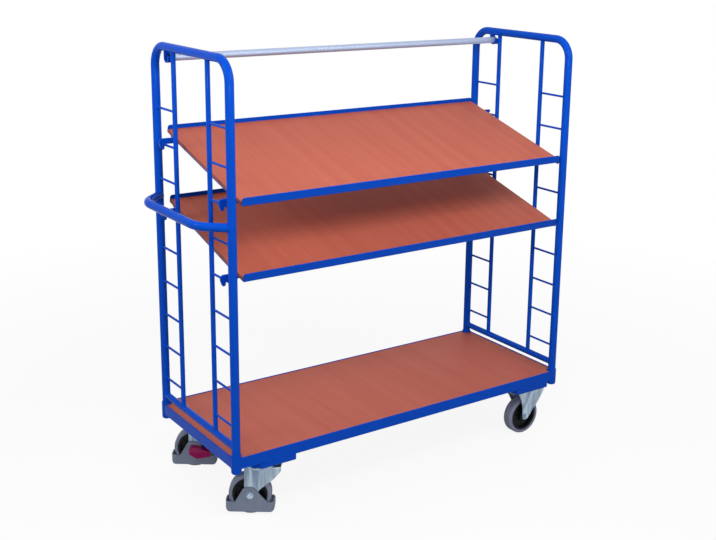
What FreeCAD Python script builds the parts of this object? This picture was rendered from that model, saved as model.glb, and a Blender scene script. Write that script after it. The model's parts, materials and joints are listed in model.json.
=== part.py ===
import FreeCAD, Part
import math
import os

from FreeCAD import Vector

# Shelf trolley with two sloping shelves hung on ladder-like end frames. Millimetres, +Z up.
# X runs along the trolley, from the push handle (-X) to the fixed castors (+X). The shelves slope down to
# the front (-Y). The pieces are drawn about the middle of the base, then all are moved so that the origin
# is on the floor under the middle of the whole trolley.

# Fits and gaps
running_clearance = 0.05     # radial, between a shaft and what turns on it
weld_gap = 0.05              # between pieces that are welded together
seat_gap = 0.3               # between a lifted-on or swinging piece and its seat
hole_clearance = 0.5         # radial, round a bolt in a plate
screw_clearance = 0.25       # radial, round a screw in a steel ledge

# Wheels
wheel_d = 125.0
tyre_width = 34.0
tyre_depth = 11.0
tyre_round = 6.0
core_width = 30.0
rim_depth = 7.5
web_width = 12.0
hub_r = 17.0
hub_width = 36.0
sleeve_r = 7.5
axle_r = 4.0

# Castors
fork_gap = 40.0              # between the inner faces of a fork's cheeks
fork_wall = 3.0
crown_clearance = 24.0       # from the tyre's top to the crown of the fork
crown_thickness = 4.0
crown_r = 40.0
crown_half_length = 50.0     # from the swivel axis to the back of a swivel fork
crown_front = 56.0
shroud_wall = 2.0
shroud_height = 4.5
ball_d = 5.2
ball_count = 18
ball_ring_r = 28.0
race_inner_r = 20.0
race_outer_r = 36.0
race_depth = 3.0
king_pin_r = 6.0
king_nut_flats = 19.0
king_nut_height = 7.0
plate_thickness = 3.5
plate_width = 85.0
plate_corner = 8.0
swivel_plate_length = 100.0
fixed_plate_length = 119.0
plate_bolt_pitch_x = 80.0
plate_bolt_pitch_y = 60.0
plate_bolt_r = 4.0
bolt_head_flats = 13.0
bolt_head_height = 5.3
nut_height = 6.5
hexagon_bevel = 30.0         # degrees, of the corners of heads and nuts
bolt_end = 2.5               # thread that stands out of a nut
washer_r = 11.0
washer_thickness = 1.6
trail = 35.0                 # from a swivel axis to the axle
fixed_offset = 7.0           # from the middle of a fixed castor's plate to the axle
fixed_fork_back = 52.0       # from the axle to the back of a fixed fork's cheeks, at the plate
fixed_fork_front = 66.0
fixed_fork_spread = 84.0     # over the cheeks, where they meet the plate
flare_rise = 24.0            # above the axle, where a fixed fork's cheeks start to spread
swivel_rest_angle = -35.5    # degrees about +Z, from +X to the direction in which the fork leads
castor_inset_x = 108.0       # from the legs to the swivel axes
fixed_axle_inset = 91.0      # from the legs to the fixed axles
castor_inset_y = 46.0

# Foot guard, pedal and brake shoe
guard_wall = 3.0
guard_floor_gap = 9.0
guard_height = 32.0
guard_end_gap = 6.0          # from the tyre's furthest point to the guard's end wall
guard_corner = 16.0
guard_foot_round = 4.0
guard_end_round = 14.0       # of the skirt's lower corners, seen from the side
guard_side_gap = 0.1
panel_top = 24.5             # above the axle
panel_round = 15.0
pedal_thickness = 5.0        # of the wall that turns on the bush
pedal_back = 10.5            # behind and, at the crest, in front of the axle
pedal_crest = 14.0           # above the axle
pedal_heel = 22.0            # below the axle
pedal_length = 56.0
pedal_toe = 14.0
pedal_width = 24.0
pedal_wall = 5.5
pedal_slant = 18.0           # width of the level part of the pedal's top
pedal_pocket_gap = 0.5
pedal_edge_round = 1.5
bush_r = 6.0
bush_length = pedal_thickness + 2 * seat_gap
bush_washer_r = 8.5
shoe_length = 22.0
shoe_height = 11.5
shoe_travel = 2.0

# Base
carrier_height = 20.0
carrier_width = 134.0
carrier_wall = 4.0
carrier_fold = 2.0           # inner radius, round the web
carrier_corner_cut = 24.0    # off the outer corners of the swivel castors' carrier
swivel_carrier_shift = 12.0  # of a carrier, from its castors' plates towards the trolley's middle
fixed_carrier_shift = 13.0
rail_height = 34.0
rail_wall = 4.0
rail_round = 1.2
rail_face_offset = 12.6      # rail's outer face, outside the leg axis
ledge_depth = 22.0
ledge_thickness = 3.0
board_thickness = 15.0
board_recess = 1.5           # board top below the rails' top
board_gap = 1.0
socket_clearance = 0.1
socket_wall = 2.4
socket_drop = 16.0           # below the rails
socket_rise = 3.6            # above the rails
socket_floor = 7.0
socket_round = 6.0
socket_board_gap = 2.0
screw_r = 2.0
screw_head_r = 4.5
screw_head_height = 3.0
base_screw_depth = 10.0
base_screw_pitch = 400.0

# End frames
leg_x = 600.0                # half of the spacing of the legs
leg_y = 228.0
tube_d = 25.0
tube_wall = 2.0
hoop_bend = 60.0
top_bar_rise = 179.5         # above the top rung
rung_d = 7.0
rung_pitch = 105.0
rung_count = 9
first_rung_rise = 86.0       # above the rails' top
inner_rod_d = 14.0
inner_rod_wall = 2.0
inner_rod_inset = 123.0
cross_tube_d = 20.0
cross_tube_rise = 27.0

# Push handle
handle_rise = 662.0          # above the rails' top
handle_reach = 72.0
handle_bend = 80.0
handle_corner_inset = 63.0   # of the bend corners, inside the legs

# Tie rod and its hooks
tie_rod_d = 21.0
tie_rod_wall = 1.5
tie_rod_drop = 28.0          # below the hoops' top bars
tie_rod_offset = 26.0        # behind the rear inner rods
tie_rod_end_inset = 2.0      # of the rod's ends, from the middle of the end frames
plug_thickness = 3.0
plug_depth = 12.0
strap_width = 20.0
strap_thickness = 4.0
strap_tip = 6.0

# Shelves
shelf_end_gap = 27.0         # from a leg axis to the end of a shelf
shelf_front_reach = 6.8      # lower front edge, outside the leg axis
shelf_rear_inset = 8.4       # lower rear edge, inside the leg axis
shelf_board_thickness = 10.0
lip_height = 26.0
lip_wall = 3.0
lip_round = 8.0
lip_foot_round = 6.0
lip_edge_round = 1.0
flange_depth = 22.0
cross_bar_width = 40.0
shelf_screw_depth = 7.0
shelf_screw_place = 110.0    # from the middle of a cross bar
front_hook_inset = 33.0      # from the leg axis
rear_hook_inset = 56.0
seat_height = 15.3           # underside of the board, above the rung at a hook
hook_thickness = 5.0
hook_root = 35.0             # length of a hook's root under the board
handle_end_hook_rise = 10.0  # above the underside of the end bars; the far end's hooks are level with it
hook_drop = 13.0             # below the rung
hook_side_play = 1.0
hook_width = 18.0
hook_tip_width = 9.0
hook_round = 8.0             # of a raised hook; a level one is rounded as its tip is
hook_shoulder = 6.0          # above the rung, where a nose starts to taper
hook_step_round = 2.0        # where a hook rises past the board's end
tip_round = 4.0
hook_end_gap = 1.0           # from the board's end to the raised part of a hook
upper_front_rung = 6         # counted from the lowest, which is 0
lower_front_rung = 4

# Heights above the floor, from the wheels up
axle_z = wheel_d / 2
crown_bottom = wheel_d + crown_clearance
crown_top = crown_bottom + crown_thickness
race_bottom = crown_top + ball_d + seat_gap
plate_bottom = race_bottom + race_depth
castor_top = plate_bottom + plate_thickness
rail_bottom = castor_top + carrier_height
rail_top = rail_bottom + rail_height
ledge_top = rail_top - board_recess - board_thickness
socket_bottom = rail_bottom - socket_drop
leg_bottom = socket_bottom + socket_floor
lowest_rung = rail_top + first_rung_rise
top_bar_z = lowest_rung + (rung_count - 1) * rung_pitch + top_bar_rise
cross_tube_z = rail_top + cross_tube_rise
handle_z = rail_top + handle_rise
tie_rod_z = top_bar_z - tie_rod_drop

# Places along and across
tube_r = tube_d / 2
inner_rod_y = leg_y - inner_rod_inset
inner_rod_r = inner_rod_d / 2
cross_tube_r = cross_tube_d / 2
rung_r = rung_d / 2
socket_r = tube_r + socket_clearance + socket_wall
rail_face_x = leg_x + rail_face_offset
rail_face_y = leg_y + rail_face_offset
swivel_x = -(leg_x - castor_inset_x)
fixed_axle_x = leg_x - fixed_axle_inset
fixed_plate_x = fixed_axle_x + fixed_offset
castor_y = leg_y - castor_inset_y
tie_rod_y = inner_rod_y + tie_rod_offset
tie_rod_r = tie_rod_d / 2
corners = [(sx * leg_x, sy * leg_y) for sx in (-1, 1) for sy in (-1, 1)]

# Slope of the shelves: their hooks hang on rungs one pitch apart
front_hook_y = -(leg_y - front_hook_inset)
rear_hook_y = leg_y - rear_hook_inset
shelf_slope = math.atan2(rung_pitch, rear_hook_y - front_hook_y)
shelf_middle_y = (leg_y - shelf_rear_inset - leg_y - shelf_front_reach) / 2
shelf_half_depth = (2 * leg_y - shelf_rear_inset + shelf_front_reach) / 2 / math.cos(shelf_slope)
shelf_half_length = leg_x - shelf_end_gap

# Castor sizes that follow the wheel and the fork
cheek_face = fork_gap / 2 + fork_wall
guard_inner = cheek_face + guard_side_gap
guard_outer = guard_inner + guard_wall
guard_half_length = wheel_d / 2 + guard_end_gap + guard_wall
guard_top = guard_floor_gap + guard_height

touching = 1e-6


def in_xy(z):
    return lambda point: Vector(point.x, point.y, z)


def in_xz(y):
    return lambda point: Vector(point.x, y, point.y)


def in_yz(x):
    return lambda point: Vector(x, point.x, point.y)


def rounded_face(outline, plane):
    """Flat face with corners (a, b, radius), each rounded to its radius, laid in a plane."""
    turns = []
    for index, (a, b, radius) in enumerate(outline):
        here = Vector(a, b, 0)
        last = outline[index - 1]
        following = outline[(index + 1) % len(outline)]
        back = (Vector(last[0], last[1], 0) - here).normalize()
        ahead = (Vector(following[0], following[1], 0) - here).normalize()
        half_angle = back.getAngle(ahead) / 2
        reach = radius / math.tan(half_angle)
        depth = radius / math.sin(half_angle) - radius
        middle = here + (back + ahead).normalize() * depth
        turns.append((here + back * reach, middle, here + ahead * reach, radius))
    edges = []
    for index, (start, middle, end, radius) in enumerate(turns):
        if radius > 0:
            edges.append(Part.Arc(plane(start), plane(middle), plane(end)).toShape())
        next_start = turns[(index + 1) % len(turns)][0]
        if end.distanceToPoint(next_start) > touching:
            edges.append(Part.LineSegment(plane(end), plane(next_start)).toShape())
    return Part.Face(Part.Wire(edges))


def prism(outline, plane, direction):
    return rounded_face(outline, plane).extrude(Vector(*direction))


def block(x, y, z):
    """Box from pairs of limits."""
    return Part.makeBox(x[1] - x[0], y[1] - y[0], z[1] - z[0], Vector(x[0], y[0], z[0]))


def bar(radius, start, end):
    """Round bar between two points."""
    line = Vector(*end) - Vector(*start)
    return Part.makeCylinder(radius, line.Length, Vector(*start), line)


def tube(radius, wall, start, end):
    return bar(radius, start, end).cut(bar(radius - wall, start, end))


def rectangle(x, y, corner):
    """Outline of a rectangle from pairs of limits, with all its corners rounded."""
    return [(x[0], y[0], corner), (x[1], y[0], corner), (x[1], y[1], corner), (x[0], y[1], corner)]


def hexagon(flats, seat, direction):
    """Hexagonal head or nut that stands on its seat, with the corners of its outer end bevelled."""
    line = Vector(*direction)
    radius = flats / math.sqrt(3)
    points = [(radius * math.cos(math.radians(60 * turn)), radius * math.sin(math.radians(60 * turn)), 0)
              for turn in range(6)]
    outer_r = 0.95 * flats / 2
    spread = line.Length / math.tan(math.radians(hexagon_bevel))
    bevel = Part.makeCone(outer_r + spread, outer_r, line.Length)
    shape = prism(points, in_xy(0), (0, 0, line.Length)).common(bevel)
    shape.Placement = FreeCAD.Placement(Vector(*seat), FreeCAD.Rotation(Vector(0, 0, 1), line))
    return shape


def bent_tube(points, bend, radius, wall):
    """Tube along straight runs joined by bends of one radius."""
    route = [Vector(*point) for point in points]
    edges = []
    start = route[0]
    for before, here, after in zip(route, route[1:], route[2:]):
        back = (before - here).normalize()
        ahead = (after - here).normalize()
        half_angle = back.getAngle(ahead) / 2
        reach = bend / math.tan(half_angle)
        middle = here + (back + ahead).normalize() * (bend / math.sin(half_angle) - bend)
        edges.append(Part.LineSegment(start, here + back * reach).toShape())
        edges.append(Part.Arc(here + back * reach, middle, here + ahead * reach).toShape())
        start = here + ahead * reach
    edges.append(Part.LineSegment(start, route[-1]).toShape())
    path = Part.Wire(edges)
    lead = route[1] - route[0]

    def sweep(section_r):
        section = Part.Wire(Part.makeCircle(section_r, route[0], lead))
        return path.makePipeShell([section], True, False)

    return sweep(radius).cut(sweep(radius - wall))


def leg_cutters(x):
    """What tubes welded to the legs of an end frame are coped to."""
    return [bar(tube_r + weld_gap, (x, side * leg_y, leg_bottom), (x, side * leg_y, top_bar_z))
            for side in (-1, 1)]


def socket_cutters(gap):
    return [bar(socket_r + gap, (x, y, socket_bottom), (x, y, rail_top + socket_rise)) for x, y in corners]


# Base

def base_screw_places():
    """Middles of the screws that hold the base board, on the ledges."""
    ledge_y = rail_face_y - rail_wall - ledge_depth / 2
    ledge_x = rail_face_x - rail_wall - ledge_depth / 2
    along = [(step * base_screw_pitch, side * ledge_y) for step in (-1, 0, 1) for side in (-1, 1)]
    return along + [(side * ledge_x, 0.0) for side in (-1, 1)]


def base_screw_bars(extra):
    """Straight holes for the base screws, wider than their shanks by extra."""
    bottom = ledge_top - ledge_thickness
    top = ledge_top + base_screw_depth
    return [bar(screw_r + extra, (x, y, bottom), (x, y, top)) for x, y in base_screw_places()]


def base_screws():
    bottom = ledge_top - ledge_thickness
    screws = []
    for x, y in base_screw_places():
        head = bar(screw_head_r, (x, y, bottom - screw_head_height), (x, y, bottom))
        shank = bar(screw_r, (x, y, bottom), (x, y, ledge_top + base_screw_depth))
        screws.append(head.fuse(shank).removeSplitter())
    return screws


def long_rail(side):
    """Front or rear rail: an upright face with a ledge for the board."""
    face = rail_face_y - rail_wall
    section = rectangle(sorted((side * face, side * rail_face_y)), (rail_bottom, rail_top), rail_round)
    upright = prism(section, in_yz(-leg_x), (2 * leg_x, 0, 0))
    ledge = block((-leg_x, leg_x), sorted((side * face, side * (face - ledge_depth))),
                  (ledge_top - ledge_thickness, ledge_top))
    return upright.fuse(ledge).cut(socket_cutters(weld_gap) + base_screw_bars(screw_clearance))


def end_rail(side):
    """Rail across an end, whose ledge stops at the long rails' ledges."""
    face = rail_face_x - rail_wall
    ledge_half = rail_face_y - rail_wall - ledge_depth - weld_gap
    section = rectangle(sorted((side * face, side * rail_face_x)), (rail_bottom, rail_top), rail_round)
    upright = prism(section, in_xz(-leg_y), (0, 2 * leg_y, 0))
    ledge = block(sorted((side * face, side * (face - ledge_depth))), (-ledge_half, ledge_half),
                  (ledge_top - ledge_thickness, ledge_top))
    return upright.fuse(ledge).cut(socket_cutters(weld_gap) + base_screw_bars(screw_clearance))


def corner_socket(x, y):
    """Cup with a rounded foot that takes the end of a leg."""
    cup = bar(socket_r, (x, y, socket_bottom), (x, y, rail_top + socket_rise))
    foot = [edge for edge in cup.Edges if edge.BoundBox.ZMax < socket_bottom + touching]
    cup = cup.makeFillet(socket_round, foot)
    return cup.cut(bar(tube_r + socket_clearance, (x, y, leg_bottom), (x, y, rail_top + socket_rise)))


def plate_bolt_places(middle_x):
    """Bolts of the two castors across one end of the base."""
    half_x = plate_bolt_pitch_x / 2
    half_y = plate_bolt_pitch_y / 2
    return [(middle_x + sx * half_x, side * castor_y + sy * half_y)
            for side in (-1, 1) for sx in (-1, 1) for sy in (-1, 1)]


def plate_bolt_holes(middle_x):
    radius = plate_bolt_r + hole_clearance
    return [bar(radius, (x, y, plate_bottom), (x, y, rail_bottom)) for x, y in plate_bolt_places(middle_x)]


def carrier_block(middle_x, inset, cut, bottom, fold):
    """Block with its outer corners cut off and its lower edges rounded, drawn in from a carrier's sides."""
    outward = math.copysign(1, middle_x)
    inner = middle_x - outward * (carrier_width / 2 - inset)
    outer = middle_x + outward * (carrier_width / 2 - inset)
    half_y = rail_face_y - inset
    if cut:
        corners_cut = [(outer - outward * cut, half_y, 0), (outer, half_y - cut, 0),
                       (outer, cut - half_y, 0), (outer - outward * cut, -half_y, 0)]
    else:
        corners_cut = [(outer, half_y, 0), (outer, -half_y, 0)]
    outline = [(inner, -half_y, 0), (inner, half_y, 0)] + corners_cut
    shape = prism(outline, in_xy(bottom), (0, 0, rail_bottom - bottom))
    return shape.makeFillet(fold, [edge for edge in shape.Edges if edge.BoundBox.ZMax < bottom + touching])


def carrier(middle_x, plate_x, cut):
    """Folded tray across the base, open upwards, with the castors bolted under its web."""
    inner_cut = cut - (2 - math.sqrt(2)) * carrier_wall if cut else 0
    tray = carrier_block(middle_x, 0, cut, castor_top, carrier_fold + carrier_wall)
    hollow = carrier_block(middle_x, carrier_wall, inner_cut, castor_top + carrier_wall, carrier_fold)
    return tray.cut([hollow] + plate_bolt_holes(plate_x))


def plate_fasteners(plate_x):
    """Bolts up through the castor plates and the carrier's web, with their nuts."""
    web_top = castor_top + carrier_wall
    pieces = []
    for x, y in plate_bolt_places(plate_x):
        head = hexagon(bolt_head_flats, (x, y, plate_bottom), (0, 0, -bolt_head_height))
        shank = bar(plate_bolt_r, (x, y, plate_bottom), (x, y, web_top + nut_height + bolt_end))
        nut = hexagon(bolt_head_flats, (x, y, web_top), (0, 0, nut_height))
        thread = bar(plate_bolt_r + running_clearance, (x, y, web_top), (x, y, web_top + nut_height))
        pieces += [head.fuse(shank).removeSplitter(), nut.cut(thread)]
    return pieces


def base_board():
    """Board laid in the rails, cut out round the sockets."""
    half_x = rail_face_x - rail_wall - board_gap
    half_y = rail_face_y - rail_wall - board_gap
    board = block((-half_x, half_x), (-half_y, half_y), (ledge_top, ledge_top + board_thickness))
    return board.cut(socket_cutters(socket_board_gap) + base_screw_bars(running_clearance))


# End frames

def hoop(x):
    """Inverted U of tube, with its feet in two sockets."""
    points = [(x, -leg_y, leg_bottom), (x, -leg_y, top_bar_z), (x, leg_y, top_bar_z), (x, leg_y, leg_bottom)]
    return bent_tube(points, hoop_bend, tube_r, tube_wall)


def cross_tube(x):
    low = tube(cross_tube_r, tube_wall, (x, -leg_y, cross_tube_z), (x, leg_y, cross_tube_z))
    return low.cut(leg_cutters(x))


def inner_rods(x):
    """Two uprights between the cross tube and the hoop's top bar."""
    foot = bar(cross_tube_r + weld_gap, (x, -leg_y, cross_tube_z), (x, leg_y, cross_tube_z))
    head = bar(tube_r + weld_gap, (x, -leg_y, top_bar_z), (x, leg_y, top_bar_z))
    return [tube(inner_rod_r, inner_rod_wall, (x, side * inner_rod_y, cross_tube_z),
                 (x, side * inner_rod_y, top_bar_z)).cut([foot, head]) for side in (-1, 1)]


def rungs(x):
    """Two ladders of rungs, each between a leg and its inner rod."""
    made = []
    for side in (-1, 1):
        rod_y = side * inner_rod_y
        leg = bar(tube_r + weld_gap, (x, side * leg_y, leg_bottom), (x, side * leg_y, top_bar_z))
        rod = bar(inner_rod_r + weld_gap, (x, rod_y, leg_bottom), (x, rod_y, top_bar_z))
        for step in range(rung_count):
            z = rung_z(step)
            made.append(bar(rung_r, (x, rod_y, z), (x, side * leg_y, z)).cut([leg, rod]))
    return made


def rung_z(step):
    return lowest_rung + step * rung_pitch


def push_handle():
    """Bent tube welded to both legs of the handle end."""
    far = -leg_x - handle_reach
    corner_y = leg_y - handle_corner_inset
    points = [(-leg_x, -leg_y, handle_z), (far, -corner_y, handle_z), (far, corner_y, handle_z),
              (-leg_x, leg_y, handle_z)]
    return bent_tube(points, handle_bend, tube_r, tube_wall).cut(leg_cutters(-leg_x))


# Tie rod

def tie_rod():
    end = leg_x - tie_rod_end_inset
    return tube(tie_rod_r, tie_rod_wall, (-end, tie_rod_y, tie_rod_z), (end, tie_rod_y, tie_rod_z))


def tie_rod_plug(side):
    """Plug with a rim as wide as the tube."""
    end = side * (leg_x - tie_rod_end_inset)
    rim = bar(tie_rod_r, (end, tie_rod_y, tie_rod_z), (end + side * plug_thickness, tie_rod_y, tie_rod_z))
    stem_r = tie_rod_r - tie_rod_wall - running_clearance
    stem = bar(stem_r, (end - side * plug_depth, tie_rod_y, tie_rod_z), (end, tie_rod_y, tie_rod_z))
    return rim.fuse(stem).removeSplitter()


def tie_rod_hook(side):
    """Flat strap welded under a top bar and bent round under the tie rod."""
    low = side * leg_x - strap_width / 2
    high = side * leg_x + strap_width / 2
    bore = tie_rod_r + seat_gap
    outer = bore + strap_thickness
    ring = bar(outer, (low, tie_rod_y, tie_rod_z), (high, tie_rod_y, tie_rod_z))
    lower_half = block((low, high), (tie_rod_y - outer, tie_rod_y + outer), (tie_rod_z - outer, tie_rod_z))
    stem = block((low, high), (tie_rod_y + bore, tie_rod_y + outer), (tie_rod_z, top_bar_z))
    tip = block((low, high), (tie_rod_y - outer, tie_rod_y - bore), (tie_rod_z, tie_rod_z + strap_tip))
    hollow = bar(bore, (low, tie_rod_y, tie_rod_z), (high, tie_rod_y, tie_rod_z))
    top_bar = bar(tube_r + weld_gap, (side * leg_x, -leg_y, top_bar_z), (side * leg_x, leg_y, top_bar_z))
    return ring.common(lower_half).fuse([stem, tip]).cut([hollow, top_bar]).removeSplitter()


# Shelves, drawn level: x along, y up the slope from the middle, z above the board's underside

def hang_shelf(shape, front_rung):
    """Tilt a level shelf piece and hang it on the rungs."""
    rise = (shelf_middle_y - front_hook_y) * math.tan(shelf_slope)
    place = Vector(0, shelf_middle_y, rung_z(front_rung) + seat_height + rise)
    return shape.rotated(Vector(0, 0, 0), Vector(1, 0, 0), math.degrees(shelf_slope)).translated(place)


def shelf_screw_places():
    bar_x = shelf_half_length - cross_bar_width / 2
    return [(x, side * shelf_screw_place) for x in (-bar_x, 0.0, bar_x) for side in (-1, 1)]


def shelf_screw_bars(extra):
    return [bar(screw_r + extra, (x, y, -lip_wall), (x, y, shelf_screw_depth))
            for x, y in shelf_screw_places()]


def shelf_board():
    half_y = shelf_half_depth - lip_wall
    board = block((-shelf_half_length, shelf_half_length), (-half_y, half_y), (0, shelf_board_thickness))
    return [board.cut(shelf_screw_bars(running_clearance))]


def shelf_rail(side):
    """Angle along the front or rear edge: a lip with rounded ends and a flange under the board."""
    outer = side * shelf_half_depth
    inner = side * (shelf_half_depth - lip_wall)
    top = lip_height - lip_wall
    flange_edge = inner - side * flange_depth
    section = [(outer, -lip_wall, lip_wall), (outer, top, lip_edge_round), (inner, top, lip_edge_round),
               (inner, 0, 0), (flange_edge, 0, 0), (flange_edge, -lip_wall, 0)]
    angle = prism(section, in_yz(-shelf_half_length), (2 * shelf_half_length, 0, 0))
    side_view = [(-shelf_half_length, -lip_wall, lip_foot_round),
                 (shelf_half_length, -lip_wall, lip_foot_round),
                 (shelf_half_length, top, lip_round), (-shelf_half_length, top, lip_round)]
    return [angle.common(prism(side_view, in_xz(outer), (0, flange_edge - outer, 0)))]


def cross_bars():
    """Flat bars between the two flanges, at both ends and in the middle."""
    half_y = shelf_half_depth - lip_wall - flange_depth - weld_gap
    half_width = cross_bar_width / 2
    end_x = shelf_half_length - half_width
    holes = shelf_screw_bars(screw_clearance)
    return [block((x - half_width, x + half_width), (-half_y, half_y), (-lip_wall, 0)).cut(holes)
            for x in (-end_x, 0.0, end_x)]


def shelf_hooks():
    """Plates on edge under the end bars, whose noses drop over the rungs."""
    rung_height = -seat_height * math.cos(shelf_slope)
    under = rung_height + rung_r + seat_gap + hook_thickness / 2 * math.tan(shelf_slope)
    tip = rung_height - hook_drop
    nose = leg_x + rung_r + hook_side_play
    raised = shelf_half_length + hook_end_gap
    root = shelf_half_length - hook_root
    outer = nose + hook_width
    raised_top = handle_end_hook_rise - lip_wall
    level_edge = [(root, -lip_wall, 0), (outer, -lip_wall, tip_round)]
    raised_edge = [(root, -lip_wall, 0), (raised, -lip_wall, 0), (raised, raised_top, hook_step_round),
                   (outer, raised_top, hook_round)]
    lower_edge = [(outer, rung_height + hook_shoulder, tip_round), (nose + hook_tip_width, tip, tip_round),
                  (nose, tip, tip_round), (nose, under, 0), (root, under, 0)]
    hooks = []
    for side, upper_edge in ((-1, raised_edge), (1, level_edge)):
        mirrored = [(side * x, z, radius) for x, z, radius in upper_edge + lower_edge]
        for hook_y in (front_hook_y, rear_hook_y):
            along = (hook_y - shelf_middle_y) / math.cos(shelf_slope) - seat_height * math.sin(shelf_slope)
            hooks.append(prism(mirrored, in_xz(along - hook_thickness / 2), (0, hook_thickness, 0)))
    return hooks


def shelf_screws():
    screws = []
    for x, y in shelf_screw_places():
        head = bar(screw_head_r, (x, y, -lip_wall - screw_head_height), (x, y, -lip_wall))
        shank = bar(screw_r, (x, y, -lip_wall), (x, y, shelf_screw_depth))
        screws.append(head.fuse(shank).removeSplitter())
    return screws


# Castors, drawn about the middle of their top plate: x towards the front of the fork, y along the axle

def turned_about_axle(profile, axle_x):
    """Ring turned about an axle from a profile of (radius, y, rounding)."""
    face = rounded_face(profile, lambda point: Vector(axle_x + point.x, point.y, axle_z))
    return face.revolve(Vector(axle_x, 0, axle_z), Vector(0, 1, 0), 360)


def wheel_core(axle_x):
    bore = sleeve_r + running_clearance
    rim = wheel_d / 2 - tyre_depth
    rim_inner = rim - rim_depth
    half = [(bore, hub_width / 2), (hub_r, hub_width / 2), (hub_r, web_width / 2), (rim_inner, web_width / 2),
            (rim_inner, core_width / 2), (rim, core_width / 2)]
    profile = half + [(radius, -y) for radius, y in reversed(half)]
    return turned_about_axle([(radius, y, 0) for radius, y in profile], axle_x)


def wheel_tyre(axle_x):
    inner = wheel_d / 2 - tyre_depth + weld_gap
    outer = wheel_d / 2
    half = tyre_width / 2
    return turned_about_axle([(inner, -half, 0), (outer, -half, tyre_round), (outer, half, tyre_round),
                              (inner, half, 0)], axle_x)


def axle_sleeve(axle_x):
    """Tube clamped between the cheeks, on which the wheel turns."""
    return tube(sleeve_r, sleeve_r - axle_r - running_clearance, (axle_x, -fork_gap / 2, axle_z),
                (axle_x, fork_gap / 2, axle_z))


def axle_fasteners(axle_x, head_side, head_seat, nut_seat, nut_washer_r):
    """Bolt, two washers and nut; the seats are distances from the middle of the wheel."""
    def washer(side, seat, radius):
        ring = bar(radius, (axle_x, side * seat, axle_z), (axle_x, side * (seat + washer_thickness), axle_z))
        return ring.cut(bar(axle_r + running_clearance, (axle_x, side * seat, axle_z),
                            (axle_x, side * (seat + washer_thickness), axle_z)))

    head_face = head_seat + washer_thickness
    nut_face = nut_seat + washer_thickness
    head = hexagon(bolt_head_flats, (axle_x, head_side * head_face, axle_z),
                   (0, head_side * bolt_head_height, 0))
    shank = bar(axle_r, (axle_x, head_side * head_face, axle_z),
                (axle_x, -head_side * (nut_face + nut_height + bolt_end), axle_z))
    nut = hexagon(bolt_head_flats, (axle_x, -head_side * nut_face, axle_z),
                  (0, -head_side * nut_height, 0))
    thread = bar(axle_r + running_clearance, (axle_x, -head_side * nut_face, axle_z),
                 (axle_x, -head_side * (nut_face + nut_height), axle_z))
    bolt = head.fuse(shank).removeSplitter()
    head_washer = washer(head_side, head_seat, washer_r)
    return [bolt, nut.cut(thread), head_washer, washer(-head_side, nut_seat, nut_washer_r)]


def folded_sheet(low_x, high_x, top):
    """Sheet folded to an inverted U along X, with its cheeks reaching down past the axle."""
    foot = 0.0
    outer_fold = 2 * fork_wall
    inner = fork_gap / 2
    outline = [(-cheek_face, foot, 0), (-cheek_face, top, outer_fold), (cheek_face, top, outer_fold),
               (cheek_face, foot, 0), (inner, foot, 0), (inner, top - crown_thickness, fork_wall),
               (-inner, top - crown_thickness, fork_wall), (-inner, foot, 0)]
    return prism(outline, in_yz(low_x), (high_x - low_x, 0, 0))


def axle_hole(axle_x, reach):
    return bar(axle_r + running_clearance, (axle_x, -reach, axle_z), (axle_x, reach, axle_z))


def swivel_fork():
    """Pressed fork: folded cheeks, a round crown and a rim round the balls."""
    boss = 16.0
    side_view = [(-crown_half_length, crown_top, 0), (-trail - boss, axle_z - boss, 15.0),
                 (-trail + boss, axle_z - boss, 15.0), (-trail + boss + 11.0, axle_z + boss, 20.0),
                 (crown_front - 22.0, crown_bottom - 36.0, 30.0),
                 (crown_front, crown_bottom - 10.0, 12.0), (crown_front, crown_top, 0)]
    sheet = folded_sheet(-crown_half_length - trail, crown_front, crown_top)
    cheeks = sheet.common(prism(side_view, in_xz(-crown_r), (0, 2 * crown_r, 0)))
    crown = bar(crown_r, (0, 0, crown_bottom), (0, 0, crown_top))
    shroud = tube(crown_r, shroud_wall, (0, 0, crown_top), (0, 0, crown_top + shroud_height))
    pin_hole = bar(king_pin_r + running_clearance, (0, 0, crown_bottom), (0, 0, crown_top))
    return cheeks.fuse([crown, shroud]).cut([pin_hole, axle_hole(-trail, crown_r)]).removeSplitter()


def plate_holes(bottom):
    """Bolt holes of one top plate, with room for the heads below it."""
    low = bottom - bolt_head_height - seat_gap
    half_x = plate_bolt_pitch_x / 2
    half_y = plate_bolt_pitch_y / 2
    holes = []
    for x, y in [(sx * half_x, sy * half_y) for sx in (-1, 1) for sy in (-1, 1)]:
        holes.append(bar(plate_bolt_r + hole_clearance, (x, y, bottom), (x, y, bottom + plate_thickness)))
        holes.append(bar(bolt_head_flats / math.sqrt(3) + hole_clearance, (x, y, low), (x, y, bottom)))
    return holes


def castor_plate(length, bottom):
    """Top plate with rounded corners and four bolt holes."""
    plate = prism(rectangle((-length / 2, length / 2), (-plate_width / 2, plate_width / 2), plate_corner),
                  in_xy(bottom), (0, 0, plate_thickness))
    return plate.cut(plate_holes(bottom))


def swivel_top_plate():
    """Plate with the upper race pressed out of its underside."""
    race = tube(race_outer_r, race_outer_r - race_inner_r, (0, 0, race_bottom), (0, 0, plate_bottom))
    pin_hole = bar(king_pin_r + weld_gap, (0, 0, plate_bottom), (0, 0, castor_top))
    return castor_plate(swivel_plate_length, plate_bottom).fuse(race).cut(pin_hole).removeSplitter()


def king_pin():
    """Pin riveted in the top plate, and the nut under the crown."""
    nut_top = crown_bottom - seat_gap
    nut_bottom = nut_top - king_nut_height
    pin = bar(king_pin_r, (0, 0, nut_bottom - bolt_end), (0, 0, castor_top))
    nut = hexagon(king_nut_flats, (0, 0, nut_top), (0, 0, -king_nut_height))
    thread = bar(king_pin_r + running_clearance, (0, 0, nut_bottom), (0, 0, nut_top))
    return [pin, nut.cut(thread)]


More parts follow.
